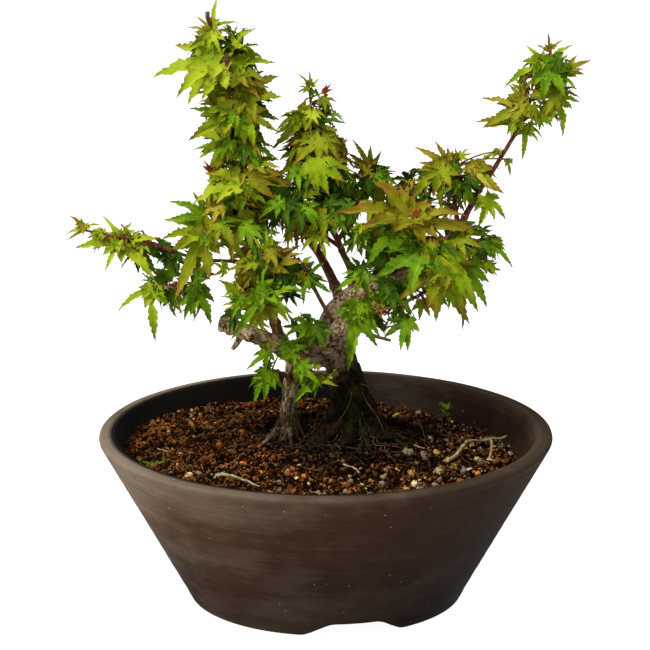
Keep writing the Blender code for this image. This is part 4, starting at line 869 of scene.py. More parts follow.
def leaf_shape():
    """The leaf as arrays: for each corner its lobe or notch, place along it and half-width; faces; UVs."""
    lobes = [(-a, r) for a, r in LOBES[:0:-1]] + list(LOBES)
    notches = [(-a, r) for a, r in NOTCHES[::-1]] + list(NOTCHES)
    angles = [math.radians(a) for a, _ in lobes + notches]
    lengths = [r for _, r in lobes + notches]
    rows, faces, uvs = [(0, 0.0, 0.0)], [], [(0.0, 0.0)]

    def corner(which, along, across, u, v):
        rows.append((which, along, across))
        uvs.append((u, v))
        return len(rows) - 1

    rim = [corner(len(lobes) + k, 1.0, 0.0, 0.36, 1.0) for k in range(len(notches))]
    for k in range(len(lobes)):
        small = k in (0, len(lobes) - 1)
        stations = (0.42,) if small else (0.36, 0.57, 0.80)
        middle = [corner(k, s, 0.0, s, 0.0) for s in stations]
        tip = corner(k, 1.0, 0.0, 1.0, 0.5)
        for side, notch in ((-1, rim[k]), (1, rim[k + 1])):
            if small:
                edge = [corner(k, 0.62, side * 0.17, 0.62, 1.0), corner(k, 0.68, side * 0.12, 0.68, 1.0)]
                halves = [(0, middle[0], notch), (middle[0], tip, edge[1], edge[0], notch)]
            else:
                e = [corner(k, s, side * w, s, 1.0) for s, w in LOBE_EDGE]
                halves = [(0, middle[0], notch), (middle[0], middle[1], e[3], e[2], e[1], e[0], notch),
                          (middle[1], middle[2], e[7], e[6], e[5], e[4], e[3]),
                          (middle[2], tip, e[9], e[8], e[7])]
            faces += [half if side > 0 else half[::-1] for half in halves]
    return np.array(angles), np.array(lengths), np.array(rows), faces, np.array(uvs)


LEAF_ANGLES, LEAF_LENGTHS, LEAF_ROWS, LEAF_FACES, LEAF_UVS = leaf_shape()


def leaf_corners(base, axis, face, length, source, droop, open_share, side_share=1.0):
    """Corners of one leaf, with each lobe turned, bent, folded and swept a little on its own."""
    kinds = len(LEAF_ANGLES)
    angles = (LEAF_ANGLES * source.uniform(0.78, 1.06) + source.normal(0, 0.07, kinds)) * open_share
    shares = np.where(np.abs(LEAF_ANGLES) < 0.4, 1.0, side_share)
    lengths = LEAF_LENGTHS * (1 + source.normal(0, 0.08, kinds)) * shares
    bend = droop + source.normal(0, 0.16, kinds)
    sweep, fold = source.normal(0, 0.14, kinds), source.uniform(0.3, 1.3) + source.normal(0, 0.18, kinds)
    which = LEAF_ROWS[:, 0].astype(int)
    along = LEAF_ROWS[:, 1] * lengths[which]
    # The lobes are narrower in small new leaves, and where a leaf is drawn lobe by lobe.
    slender = max(0.80, length / 0.016) if length < 0.016 else math.sqrt(0.016 / length)
    across = LEAF_ROWS[:, 2] * source.uniform(0.90, 1.10) * slender * (0.55 + 0.45 * side_share)
    side = across + sweep[which] * along ** 2
    x = along * np.cos(angles[which]) - side * np.sin(angles[which])
    y = along * np.sin(angles[which]) + side * np.cos(angles[which])
    wavy = 0.03 * np.sin(along * 23 + which * 2.1) * (across != 0)
    z = fold[which] * np.abs(across) - bend[which] * along ** 2 + wavy
    z += source.uniform(-0.4, 0.25) * np.abs(y)
    across_axis = np.cross(face, axis)
    return base + length * (x[:, None] * axis + y[:, None] * across_axis + z[:, None] * face)


def curve(a, bend, b, steps):
    t = np.linspace(0, 1, steps + 1)[:, None]
    return (1 - t) ** 2 * np.asarray(a) + 2 * t * (1 - t) * np.asarray(bend) + t ** 2 * np.asarray(b)


# Maple leaf, thin and soft with a faint wax. The veins are paler, the teeth and tips scorched bronze.
# Each tint is dealt out by spray: lime and yellow-green where growth is new, deep green inside, olive
# and bronze at the crown's outside, red in the bud.
def make_leaf_finish(name, body, shade, edge, scorch):
    made, add, place = new_material(name, Roughness=0.52, IOR=1.38, Specular_IOR_Level=0.09)
    uv = add("SeparateXYZ", add("UVMap", uv_map="leaf"))
    along, across = uv.outputs["X"], uv.outputs["Y"]
    patches = add("TexNoise", place, 230.0, 3.0)
    mottled = add("ValToRGB", patches, stops=((0.36, shade), (0.60, body)))
    slant = add("Math", across, -0.13, along, operation="MULTIPLY_ADD")
    stripes = add("Math", slant, 0.045, operation="PINGPONG")
    side_vein = add("MapRange", stripes, 0.0, 0.012, 0.14, 0.0)
    midrib = add("MapRange", across, 0.04, 0.16, 0.24, 0.0)
    vein = add("Math", side_vein, midrib, operation="MAXIMUM")
    veined = add("Mix", vein, mottled, "#a9ae3c", data_type="RGBA")
    # Scorch begins at the teeth and creeps in towards the midrib near the tip, in uneven blotches.
    reach = add("Math", along, 2.0, across, operation="MULTIPLY_ADD")
    ragged = add("Math", patches, 1.3, reach, operation="MULTIPLY_ADD")
    burnt = add("MapRange", ragged, 3.30 - scorch, 3.90 - scorch, 0.0, 0.85)
    done = add("Mix", burnt, veined, edge, data_type="RGBA")
    return coat(made, done, add("Math", patches, vein, operation="SUBTRACT"), 0.0004, 0.5)


TINTS = "lygdobtr"            # the finishes' letters in the rows of placed leaves
LEAF_FINISHES = [make_leaf_finish(*finish) for finish in (
    ("lime_leaf", "#9ba61e", "#7b9410", "#8c6420", 0.50),
    ("yellow_green_leaf", "#8c9a10", "#678404", "#80581a", 0.60),
    ("mid_green_leaf", "#648808", "#446a02", "#6f5812", 0.36),
    ("deep_green_leaf", "#365a04", "#1d3b01", "#4d460a", 0.15),
    ("olive_leaf", "#7a820a", "#5f6c05", "#80521a", 0.74),
    ("bronze_leaf", "#7e7c10", "#6a6808", "#82561a", 0.95),
    ("tan_leaf", "#9c9028", "#888018", "#94682a", 0.85),
    ("young_red_leaf", "#8c3a16", "#702a10", "#a4562a", 0.60))]


# Leaf stalks: smooth, round and fleshy, green at the leaf and flushed red towards the twig.
def make_stalk_finish():
    made, add, place = new_material("red_green_leaf_stalk", Roughness=0.45, IOR=1.42, Specular_IOR_Level=0.25)
    flush = add("TexNoise", place, 160.0, 2.0)
    return coat(made, add("ValToRGB", flush, stops=((0.38, "#5c2611"), (0.50, "#70541a"), (0.62, "#6c7a20"))))


# Winter buds and fresh bud scales: tiny, smooth, red-brown with a slight shine.
def make_bud_finish():
    made, add, place = new_material("red_bud_scales", Roughness=0.4, IOR=1.45)
    scales = add("TexNoise", place, 900.0, 2.0)
    colour = add("ValToRGB", scales, stops=((0.38, "#55180c"), (0.62, "#a04424")))
    return coat(made, colour, scales, 0.0002, 0.6)


# Each mass of leaves, in millimetres: its leaves' length, the points of its leader from its bough to
# its tip, and the blobs of space that it fills, by centre and half-widths.
MASSES = {
    "left_leader": (16.5, ((-27.2, 3, 123.5), (-27.3, 4, 139.1), (-27.9, 5, 152.9), (-29.9, 5, 166.7),
        (-31.8, 4, 182.3), (-36.4, 3, 194.4), (-38, 3, 199)), ((-33, -2, 132, 20, 20, 13),
        (-29, 4, 150, 15, 16.5, 12), (-30, 4, 168, 14, 15, 11.5), (-34.5, 3, 189, 14.5, 14.5, 13.5))),
    "left_heart": (16.5, ((-21.4, 0, 107.2), (-20.5, -8, 110.5), (-20.5, -13, 115), (-19.5, -14, 123)),
        ((-21.5, -13, 108.5, 16.5, 16, 12.5), (-19, -12, 123.5, 13, 13, 9.5))),
    "left_reach_inner": (16, ((-43, -3, 120), (-47.5, -7, 115), (-50, -10, 111)),
        ((-48, -5, 112, 16.5, 16, 13),)),
    "left_reach_tip": (15, ((-51, -5, 122.8), (-62, -8, 127.5), (-74, -10, 130), (-81, -10, 131.6)),
        ((-70, -10, 128, 16.5, 13, 9),)),
    "centre_leader": (14.5, ((3.2, 10, 125.8), (0.5, 12, 134), (-2.8, 13, 150), (-4.5, 13, 164),
        (-5.5, 12, 174.5)), ((-2, 12, 146, 15.5, 15.5, 13), (-3.5, 12, 165, 12, 12, 13))),
    "centre_low": (14.5, ((5.2, 8, 121.5), (-2, 5, 127.5), (-9, 3, 134), (-12, 3, 141)),
        ((-9, 4, 135, 14, 15, 14),)),
    "centre_tuft": (13, ((4.2, 9, 123.7), (10, 15, 133), (13.8, 18, 144), (14.5, 18, 149)),
        ((15.5, 18, 143, 11, 13, 12),)),
    "middle_spray": (11, ((-4.8, -9, 113), (-5.8, -9.5, 116), (-6.6, -10, 119)),
        ((-3, -10, 116.5, 13, 11, 8.5),)),
    "right_inner": (17, ((24, 0, 112.5), (22, -4, 120), (20.5, -6, 132)), ((20, -5, 127.5, 16, 17, 14),)),
    "right_low": (16.5, ((37.5, -8.5, 115.2), (33, -14, 111), (25, -18, 108), (18, -20, 106)),
        ((22.5, -15, 104, 18, 15, 11),)),
    "right_outer": (19.5, ((42.5, -12.5, 116.5), (44, -15, 123), (40, -18, 130.5)),
        ((44.5, -14, 121.5, 18.5, 17, 17),)),
    "right_wing": (14, ((36.8, -2.5, 119.2), (44.5, 3, 118.8), (54, 5, 122)),
        ((52, 4, 120.5, 10.5, 14, 12),)),
    "right_tuft": (15.5, ((45.2, 0, 130), (44, 3, 140), (44.5, 4, 151)), ((44.5, 3, 147.5, 15, 14, 13),)),
    "far_right": (14, ((64, 2, 162), (69, 2, 173.5), (73.5, 1, 183), (75.5, 0, 190)),
        ((69, 2, 170.5, 13, 13, 10), (75.5, 1, 184, 11.5, 13, 12))),
    "back_left": (17, ((-10, 31, 125), (-20, 36, 131), (-29, 38, 136)), ((-24, 37, 132.5, 19, 17, 14),)),
    "back_centre": (15.5, ((-3, 24, 116.5), (1, 32, 124), (3, 37, 133)), ((3, 37, 133, 14, 14, 14),)),
    "back_right": (17, ((33, 31, 127), (36, 34, 133), (38, 35, 140)), ((35, 33, 133, 17, 17, 14),)),
    "back_low": (15.5, ((24, 12, 114.5), (25, 20, 109), (26, 27, 105)), ((26, 24, 108, 15, 13, 11),)),
    "fork_spray": (12, ((-5, 1, 86.8), (-5.8, -7, 92), (-6.5, -12, 95.5)),
        ((-7, -11, 94.5, 12, 9.5, 7.5),)),
    "foot_spray": (13, ((-16.5, -10.5, 82.2), (-18.5, -13, 83.2), (-20.5, -15, 83.8)),
        ((-20.5, -15, 79.5, 9, 9, 10),)),
    "low_spray": (11.5, ((-0.5, -12, 81.8), (-2, -14, 82.8), (-4, -16.5, 83.2)),
        ((-2, -17, 81, 10.5, 10, 9),)),
}
# The camera of the last section, in millimetres and points of its picture: where it looks, from how far
# away and how steeply down, its focal length and its picture's middle.
AIM_X, AIM_Z, CAMERA_AWAY, CAMERA_TILT = -0.3, 96.0, 1000.0, math.radians(14.52)
FOCAL_POINTS, PICTURE_MIDDLE = 2903.0, 325.0
# The outer leaves as the camera sees them: where a leaf starts and where its middle lobe ends, each by
# its point across and down in the picture and its depth in millimetres, 0 at the bowl's middle and less
# in front. Then its tint and its facing: V front, U up, L and R front left and right, D down.
PLACED_LEAVES = {
    "left_leader": """212 26 2 214.4 1 0 lV, 210 27 3 230 16 1 yV, 208 30 2 191 26 -1 tV,
        212 28 3 197 18 4 yV, 212 34 0 188 46 -3 oV, 214 34 -1 217 54 -6 lV, 220 30 4 236 31 3 tU,
        222 40 4 240 45 3 dV, 218 62 0 155.5 70.5 -5 lV, 219 64 -2 184 93.5 -6 lV, 233 50 1 245 25 -1 lL,
        227 64 0 276 63 -4 yV, 228 68 0 273 76 -4 oV, 237.5 80 -3 215 79 -5 yD, 236 78 -1 243 68 -2 rV,
        238 84 1 270 84 -1 tV, 230 90 0 201 88 -4 yV, 230 109 -3 193 118 -6 gV, 229 107 -1 198 100 -4 lV,
        231 110 -3 190.5 143 -7 yV, 243 93 0 287 102 -2 oV, 246 100 1 276 112 0 dV,
        245 111 -3 258 146 -6 yV, 250 112 0 275 137 -3 oV, 240 118 -4 236 140 -6 gV,
        228 140 -1 194 151 -5 lV, 229 141 -3 207 162 -7 gV, 231 141 -3 221 163 -6 yV,
        228 138 1 212 131 -1 gV, 243 141 0 279 154 -3 gV, 246 138 2 270 138 1 tU, 244 145 -2 262 166 -6 dV,
        212 172 1 204 161 0 rV, 238 182 -2 221 167 -3 gV, 242 182 -3 191 186 -7 lV,
        243 184 -5 212 200 -9 yV, 206 215 -4 177.5 196 -6 gV, 208 212 -2 208 192 -3 yV,
        203 232 -6 160.5 234 -10 yV, 204 235 -8 174 287 -13 oV, 205 236 -9 225 250 -13 gV,
        213 220 -9 246 248 -14 oV, 214 219 -8 243 222 -11 gV, 245 226 -9 268 239 -12 gV,
        247 186 -6 240 210 -10 gV, 280 200 -6 259 219 -9 gV, 280 199 -3 273 176 -4 dV,
        282 202 -6 297 229 -9 dV, 249 178 -3 287 190 -6 bV, 253 160 -2 280 172 -4 oV,
        250 190 -6 268 205 -8 yV, 226 196 -6 250 200 -9 dV, 222 205 -6 199 214 -9 tV,
        258 232 -7 282 246 -10 dV, 230 238 -9 246 262 -12 oV, 246 252 -8 236 274 -12 tV""",
    "left_reach_tip": """83 227 -9 71 212 -9 tV, 83 228 -9 63.7 234 -11 lV, 84 229 -10 72 239 -12 tV,
        85 227 -9 98 220 -9 yV, 120 240 -9 156 279 -13 lV, 119 240 -9 75 243 -12 lV,
        119 241 -10 100 268 -14 lV, 120 238 -8 107.5 215 -7 lV, 120 238 -8 134 221 -6 yV,
        121 240 -9 160 234.5 -10 lV, 119 241 -9 92 250 -12 lV, 104 234 -10 90 232 -12 lV,
        140 243 -9 152 252 -11 lV, 132 240 -9 144 234 -9 lV, 96 231 -10 106 238 -12 lV,
        138 246 -5 169 262 -8 dV""",
    "left_reach_inner": """153 287 -8 152 338 -13 lV, 153 286 -7 120 302 -11 lV, 155 286 -5 141 274 -6 gU,
        156 288 -8 169 303 -12 gV, 172 252 -4 147 252 -8 dV, 172 254 -6 178 276 -9 dV,
        195 285 -9 183 304 -13 gV, 196 286 -9 216 322 -13 gV, 195 284 -7 206 268 -8 gU,
        178 288 -6 166 306 -9 dV, 190 298 -7 200 318 -11 gV, 200 262 -5 186 246 -6 oV""",
    "left_heart": """261 291 -20 309 288 -25 gV, 261 292 -21 291 314 -27 gV, 260 293 -21 243 332 -27 gV,
        261 290 -19 265 262 -20 gU, 240 296 -19 230 320 -24 gV, 240 295 -18 220 273 -20 lV,
        242 296 -18 222 300 -23 gV, 254 262 -15 232 268 -18 oV, 270 250 -14 282 268 -17 bV,
        262 300 -18 258 327 -23 oV, 226 270 -13 212 262 -15 yV, 236 312 -16 226 331 -20 dV""",
    "centre_leader": """310 84 12 310 72 11 tV, 309 85 11 303 75 9 oV, 312 86 12 320 80 12 yV,
        308 88 10 297 91 8 oV, 314 90 8 313 100 6 dV, 322 94 12 331 84 12 rV, 322 99 11 337 107 9 oV,
        311 111 7 275.5 143 2 oV, 311 110 8 284 109 6 lU, 312 112 5 309 130 2 lV, 314 111 8 328 115 6 lV,
        316 121 9 342 117 6 dV, 317 124 8 340 131 5 oV, 306 138 6 284 136 3 bV, 320 137 3 297 164 -2 oV,
        322 136 5 339 158 1 oV, 302 142 4 281 158 1 oV, 315 158 0 329 196 -5 yV, 316 156 4 332 160 1 bV,
        296 150 5 274 157 2 dV, 300 168 2 280 186 -2 gV, 312 172 0 304 196 -4 dV, 330 162 5 352 172 2 oV,
        334 176 5 352 190 2 dV, 296 116 6 276 124 3 oV, 297 118 6 280 138 3 yV, 298 162 4 278 172 1 yV,
        298 163 4 284 182 1 oV""",
    "centre_low": """326 215 -2 305 236 -6 oV, 316 233 -3 300 251 -7 lV, 319 234 -2 325 257 -6 yV,
        300 212 -5 290 235 -9 dV, 304 206 -4 318 228 -8 gV, 290 204 -3 308 190 -4 dV,
        330 200 0 346 218 -3 dV, 336 214 -1 330 240 -4 gV, 346 220 0 358 236 -3 gV,
        346 221 0 340 244 -3 dV""",
    "right_inner": """362 226 -6 350 240 -8 yV, 362 227 -6 364 252 -8 gV, 358 236 -3 346 258 -5 dV,
        406 217 -14 337.5 191 -19 bV, 407 216 -14 375 182.5 -15 bV, 414 216 -17 419 207 -17 rV,
        396 226 -13 360 264 -18 gV, 397 227 -14 398 251 -17 gV, 395 224 -12 370 220 -14 dV,
        400 230 -14 413 250 -17 yV, 363 274 -10 332.5 283 -15 gV, 364 274 -11 369 298 -16 gV,
        362 272 -8 340 262 -10 dV, 384 262 -8 362 244 -12 dV, 352 206 -4 330 214 -8 dV,
        372 206 -6 352 220 -10 oV""",
    "centre_tuft": """368 165 16 359.5 144.5 14 oV, 372 168 17 382 154 16 dV, 376 173 16 392.5 175 14 dV,
        376 174 14 391 195 10 gV, 370 172 14 352 168 11 bV, 366 178 12 372 200 8 dV""",
    "right_outer": """424 249 -17 377 281 -22 gV, 414.5 219 -17 488 225 -21 bV, 415 218 -17 458 201 -18 bV,
        415 220 -17 419 243 -20 yV, 441 256 -20 468 323 -25 yV, 442 262 -19 477 307 -24 oV,
        440 262 -20 452 304 -25 gV, 432 242 -19 430 266 -22 oV, 438 270 -20 402 296 -25 oV,
        464 266 -16 486 299 -21 gV, 455 236 -16 484 252 -20 oV, 446 238 -17 472 262 -21 dV,
        428 240 -18 452 258 -22 dV, 464 226 -14 488 240 -18 dV, 412 240 -16 420 262 -20 dV""",
    "right_wing": """491 240 2 508 265 -2 gV, 490 238 3 508 246 1 oV, 486 262 0 496 276 -3 yV,
        480 232 3 494 222 2 dU, 482 246 -1 478 268 -4 dV""",
    "right_tuft": """445 166 0 425 146 -3 tV, 444 167 -2 408.5 190 -6 oV, 445 168 -3 429 204 -7 oV,
        471 165 -1 504 196 -5 oL, 471 165 -1 492 190 -5 tL, 471 165 -1 480 176 -4 tL,
        458 184 -5 464 204 -8 dV, 457 183 -4 439 195 -7 gV, 461 184 -4 479 199 -7 dV,
        485 196 -2 499.5 226 -6 yV, 452 160 3 446 148 4 oV, 460 158 4 468 146 5 oV,
        456 164 -3 450 178 -5 dV, 468 176 -2 490 182 -5 dV, 500 151 1 477 161 -2 oU,
        500 151 1 484 155 -1 tU, 500 151 1 490 160 -1 oU, 508 159 0 511 177 -1 yV, 508 159 0 513 160 -1 oV,
        508 159 0 504 166 -1 yV, 430 203 2 398 198 -1 dV""",
    "far_right": """523 102 -1 482 106 -3 tV, 522 104 -2 486 127 -5 oV, 518 115 -1 484 127.5 -3 yV,
        519 117 -2 489 133 -4 lV, 524 100 0 508 86 -1 tV, 532 105 -3 539 123 -5 oV,
        540 111 -2 554 127 -4 gV, 526 127 -1 523 157 -4 yV, 527 126 -1 538 145 -4 yV,
        528 124 0 544 135 -2 lV, 554 96 -2 574 129 -5 yV, 555 95 -1 580 104 -3 yV, 556 93 -4 526 100 -7 oV,
        543 62 -1 504 77.5 -4 yV, 543 61 0 529 45 0 lV, 545 63 0 570 43 0 lV, 545 66 -3 573 97 -7 gV,
        550 49 1 546 34 1 bV, 552 48 1 560 38 1 bV, 548 50 0 536 44 -1 bV, 567 70 0 587.5 57 -1 bV,
        566 72 -1 586 66 -2 oV, 562 74 -2 577 86 -4 gV, 560 60 -3 552 72 -5 dV, 538 78 -2 522 84 -4 bV,
        540 80 -3 556 88 -6 bV, 538 90 -3 548 104 -6 gV""",
    "right_low": """357 304 -20 352 367 -25 gV, 356 304 -19 333 316 -22 gV, 358 305 -20 367 347 -25 gV,
        359 304 -19 382 337 -23 gV, 358 303 -17 376 300 -18 gU, 386 285 -16 421 311 -21 dV,
        386 287 -17 398 312 -22 dV, 384 284 -14 374 268 -15 gV, 407 319 -17 393 351 -21 gV,
        421 300 -15 432 318 -18 oV, 436 288 -13 436 313 -16 yV, 404 290 -14 424 284 -17 dV,
        372 318 -16 386 326 -19 dV, 396 300 -16 410 318 -19 dV, 383 331 -6 388 319 -6 rV,
        383 331 -6 393 323 -6 rV, 383 331 -6 379 320 -6 rV, 383 331 -6 386 336 -6 rV""",
    "middle_spray": """306 275 -10 299 257 -11 dV, 307 274 -10 328 263 -12 dV, 309 277 -12 333 294 -15 dV,
        304 276 -12 282 284 -15 bV, 306 277 -13 302 303 -16 gV, 290 266 -9 274 268 -12 dV""",
    "fork_spray": """312 324 -13 281 331 -17 gV, 314 323 -13 333 333 -17 gV, 314 326 -15 329 350 -19 dV,
        311 322 -11 300 309 -12 dU, 296 326 -10 284 318 -12 gV""",
    "foot_spray": """267 350 -14 248 370 -17 gV, 267 371 -16 250 405 -19 gV, 267 372 -17 264 406 -20 gV,
        268 371 -15 281 396 -18 gV, 265 370 -15 247 388 -17 gV, 268 349 -13 256 340 -14 gU,
        281 351 -13 308 347 -16 gV, 272 346 -13 268 336 -14 tV""",
    "low_spray": """300 366 -17 294 383 -20 gV, 301 365 -17 319 385 -21 gV, 314 379 -16 291 404 -20 gV,
        315 378 -15 339 390 -18 oV, 316 380 -16 318 398 -19 gV, 327 378 -13 338.5 368 -15 yU,
        296 352 -14 280 360 -17 gV""",
}


def seen(across, down, depth):
    """The place in millimetres that the camera sees at a point of its picture, at this depth."""
    slope = (PICTURE_MIDDLE - down) / FOCAL_POINTS
    level, steep = math.cos(CAMERA_TILT), math.sin(CAMERA_TILT)
    rise = (slope * (CAMERA_AWAY + depth * level) - depth * steep) / (level + slope * steep)
    x = AIM_X + (across - PICTURE_MIDDLE) / FOCAL_POINTS * (CAMERA_AWAY + depth * level - rise * steep)
    return [round(size, 1) for size in (x, depth, AIM_Z + rise)]


def facing(point):
    """Which way a leaf's upper face looks: up, and out to the front or back of the crown."""
    depth = max(-1.0, min(1.0, (point[1] - CROWN_MIDDLE) / CROWN_DEPTH))
    return np.array((0.0, 0.75 * depth, 0.65))


class Spray:
    """Everything that grows in one mass of leaves, collected as arrays."""

    def __init__(self, name, number):
        self.source = np.random.default_rng(700 + number)
        leaf, stem, blobs = MASSES[name]
        self.leaf, self.stem, self.blobs = leaf / 1000, fine_path(stem, 6), np.array(metres(blobs))
        self.leaves, self.twigs, self.stalks, self.buds = [], [], [], []
        rows = [row.split() for row in PLACED_LEAVES.get(name, "").split(",") if row]
        self.kinds = [row[6] for row in rows]
        self.bases = np.array([seen(*map(float, row[:3])) for row in rows]).reshape(-1, 3) / 1000
        self.tips = np.array([seen(*map(float, row[3:6])) for row in rows]).reshape(-1, 3) / 1000

    def inside(self, point):
        """0 at the middle of the nearest blob of space, 1 on its surface."""
        return min(np.linalg.norm((point - blob[:3]) / blob[3:]) for blob in self.blobs)

    def heart(self, point):
        return min(self.blobs[:, :3], key=lambda centre: np.linalg.norm(centre - point))

    def room(self, start, way):
        """How far the edge of the space lies from start in this direction."""
        distance = 0.0
        while distance < 0.03 and self.inside(start + way * distance) < 1.0:
            distance += 0.0008
        return distance

    def add_leaf(self, base, axis, face, length, tint, droop, open_share=1.0, side_share=1.0):
        axis = unit(axis)
        face = unit(face - axis * np.dot(face, axis))
        corners = leaf_corners(base, axis, face, length, self.source, droop, open_share, side_share)
        self.leaves.append((corners, TINTS.index(tint)))

    def add_bud(self, point, way, size):
        self.buds.append((point, unit(way), size))

    def nodes(self, path, spacing, start):
        """Pairs of ways out along a path, each pair turned a quarter from the last."""
        lengths = np.concatenate(([0.0], np.cumsum(np.linalg.norm(np.diff(path, axis=0), axis=1))))
        at, turn, found = lengths[-1] - 0.0008, self.source.uniform(0, math.pi), []
        while at > start:
            i = min(len(path) - 2, int(np.searchsorted(lengths, at) - 1))
            along = unit(path[i + 1] - path[i])
            across = unit(np.cross(along, (0.3, 0.9, 0.2)))
            point = path[i] + along * (at - lengths[i])
            for half in (0.0, math.pi):
                angle = turn + half + self.source.uniform(-0.3, 0.3)
                out = math.cos(angle) * across + math.sin(angle) * np.cross(along, across)
                found.append((point, out, along))
            turn += math.pi / 2 + self.source.uniform(-0.3, 0.3)
            at -= spacing * self.source.uniform(0.85, 1.15)
        return found

    def spray_tint(self, point):
        """The tint of a whole side twig: fresh where it is high and outside, deep green within."""
        out = self.inside(point)
        high = min(1.0, max(0.0, (point[2] - 0.10) / 0.08))
        chances = np.array([1.2 + 1.5 * high, 2.0 + 1.0 * high, 3.2 - 1.6 * high, 3.0 - 2.0 * high,
                            0.6 + 1.6 * high * out, 0.3 + 0.9 * out * high, 0.1 + 0.5 * out * high, 0.04])
        return TINTS[self.source.choice(8, p=chances / chances.sum())]

    def clear_of_placed(self, points):
        """Whether a leaf lies behind the outer leaves that hang before it."""
        middles = (self.bases + self.tips) / 2
        for point in points:
            near = np.hypot(middles[:, 0] - point[0], middles[:, 2] - point[2]) < 0.007
            if near.any() and point[1] < middles[near, 1].mean() + 0.0025:
                return False
        return True

    def free_leaf(self, point, out, along, tint, shrink, curl=(0.10, 0.65)):
        """A leaf of the rule's own from a node, if it keeps to the mass's space."""
        source = self.source
        from_heart = unit(point - self.heart(point))
        for _ in range(5):
            length = self.leaf * source.uniform(0.46, 0.80) * shrink
            stalk = unit(out * 0.8 + along * 0.45 + np.array((0, 0, 0.2)) + source.uniform(-0.3, 0.3, 3))
            base = point + stalk * length * source.uniform(0.28, 0.60)
            hang = np.array((0, 0, -0.40 + 0.4 * from_heart[2]))
            axis = unit(out + 0.7 * from_heart + source.uniform(-0.4, 0.4, 3) + hang)
            face = facing(base) + 0.45 * from_heart + source.uniform(-0.35, 0.35, 3)
            tip = base + axis * length
            if self.inside(tip) > REACH_SHARE or tip[2] < soil_height(tip[0], tip[1]) + 0.002:
                continue
            if not self.clear_of_placed((base, tip)):
                continue
            self.add_leaf(base, axis, face, length, tint, source.uniform(*curl), source.uniform(0.7, 1.0))
            bend = point + stalk * length * 0.25 + np.array((0, 0, 0.0006))
            radii = [STALK_RADIUS * share for share in (1.25, 1.0, 0.9, 0.8)]
            self.stalks.append(make_tube(curve(point, bend, base + axis * 0.0003, 3), radii, 4))
            return True
        return False

    def grow(self):
        """The leader, its side twigs and their pairs of leaves."""
        source, stem = self.source, self.stem
        length = np.linalg.norm(np.diff(stem, axis=0), axis=1).sum()
        radii = np.linspace(STEM_RADIUS, TWIG_RADIUS, len(stem))
        run = np.linspace(0, length, len(stem))
        radii = radii * (1 + 0.30 * np.maximum(0, np.cos(run * math.tau / NODE_SPACING)) ** 8)
        self.twigs.append(make_tube(stem, radii, 9))
        for point, out, along in self.nodes(stem, NODE_SPACING, 0.003):
            way = unit(out + 0.5 * along + np.array((0, 0, 0.12)))
            room = self.room(point, way)
            tint = self.spray_tint(point + way * room * 0.6)
            if room > TWIG_ROOM:
                end = point + way * room * source.uniform(0.42, 0.60)
                if not self.clear_of_placed((end,)):
                    end = point + way * room * 0.3
                sway = source.uniform(-0.0006, 0.0006, 3)
                path = curve(point, (point + end) / 2 + np.array((0, 0, room * 0.05)) + sway, end, 4)
                self.twigs.append(make_tube(path, np.linspace(TWIG_RADIUS * 1.1, TWIG_RADIUS * 0.65, 5), 6))
                for number, place in enumerate(self.nodes(path, LEAF_SPACING, 0.002)):
                    self.free_leaf(*place, tint, 0.85 if number < 2 else 1.0)
                # New growth at the tip: a few small leaves, still curled.
                for _ in range(4):
                    out = unit(end - point + source.normal(0, 0.006, 3))
                    self.free_leaf(end, out, unit(end - point), tint, 0.68, (0.3, 1.1))
                if source.uniform() < 0.5:
                    self.add_bud(end, end - point, 0.0006)
            else:
                self.free_leaf(point, out, along, tint, 1.0)
        top, up = stem[-1], unit(stem[-1] - stem[-2])
        for k in range(9):
            out = unit(source.normal(0, 1, 3) + 0.5 * up)
            self.free_leaf(top - up * 0.0006 * k, out, up, "otyyl"[k % 5], 0.60, (0.3, 1.1))
        self.add_bud(top, up, 0.0008)

    def hang_placed(self):
        """The outer leaves that give the crown its face, each on its own stalk from the leader."""
        source, ways = self.source, {"V": (0, -0.75, 0.65), "U": (0, -0.15, 1.0), "L": (-0.6, -0.5, 0.6),
                                     "R": (0.6, -0.5, 0.6), "D": (0, -0.9, -0.3)}
        for base, tip, (tint, way) in zip(self.bases, self.tips, self.kinds):
            axis, length = unit(tip - base), float(np.linalg.norm(tip - base))
            face = np.array(ways[way]) + source.uniform(-0.25, 0.25, 3)
            droop = source.uniform(0.08, 0.42)
            # Where rows share one base they are the lobes of one leaf: each keeps only its own lobe long.
            others = min(2, int((np.linalg.norm(self.bases - base, axis=1) < LOBE_SHARE).sum()) - 1)
            self.add_leaf(base, axis, face, length * (1 + 0.10 * droop), tint, droop,
                          0.35 if tint == "r" else (1.0, 0.95, 0.88)[others], (1.0, 0.74, 0.52)[others])
            above = np.maximum(0, self.stem[:, 2] - base[2] + 0.001)
            start = self.stem[int(np.argmin(np.linalg.norm(self.stem - base, axis=1) + 0.6 * above))]
            bend = (start + base) / 2 + np.array((0, 0.001, 0.12 * np.linalg.norm(base - start)))
            long = np.linalg.norm(base - start) > 0.007
            thick = TWIG_RADIUS * 0.75 if long else STALK_RADIUS * 1.3
            path = curve(start, bend, base + axis * 0.0003, 5)
            self.stalks.append(make_tube(path, np.linspace(thick, STALK_RADIUS * 0.8, 6), 5))
            if source.uniform() < 0.6:
                self.add_bud(path[4 if long else 0], base - start, 0.0006)


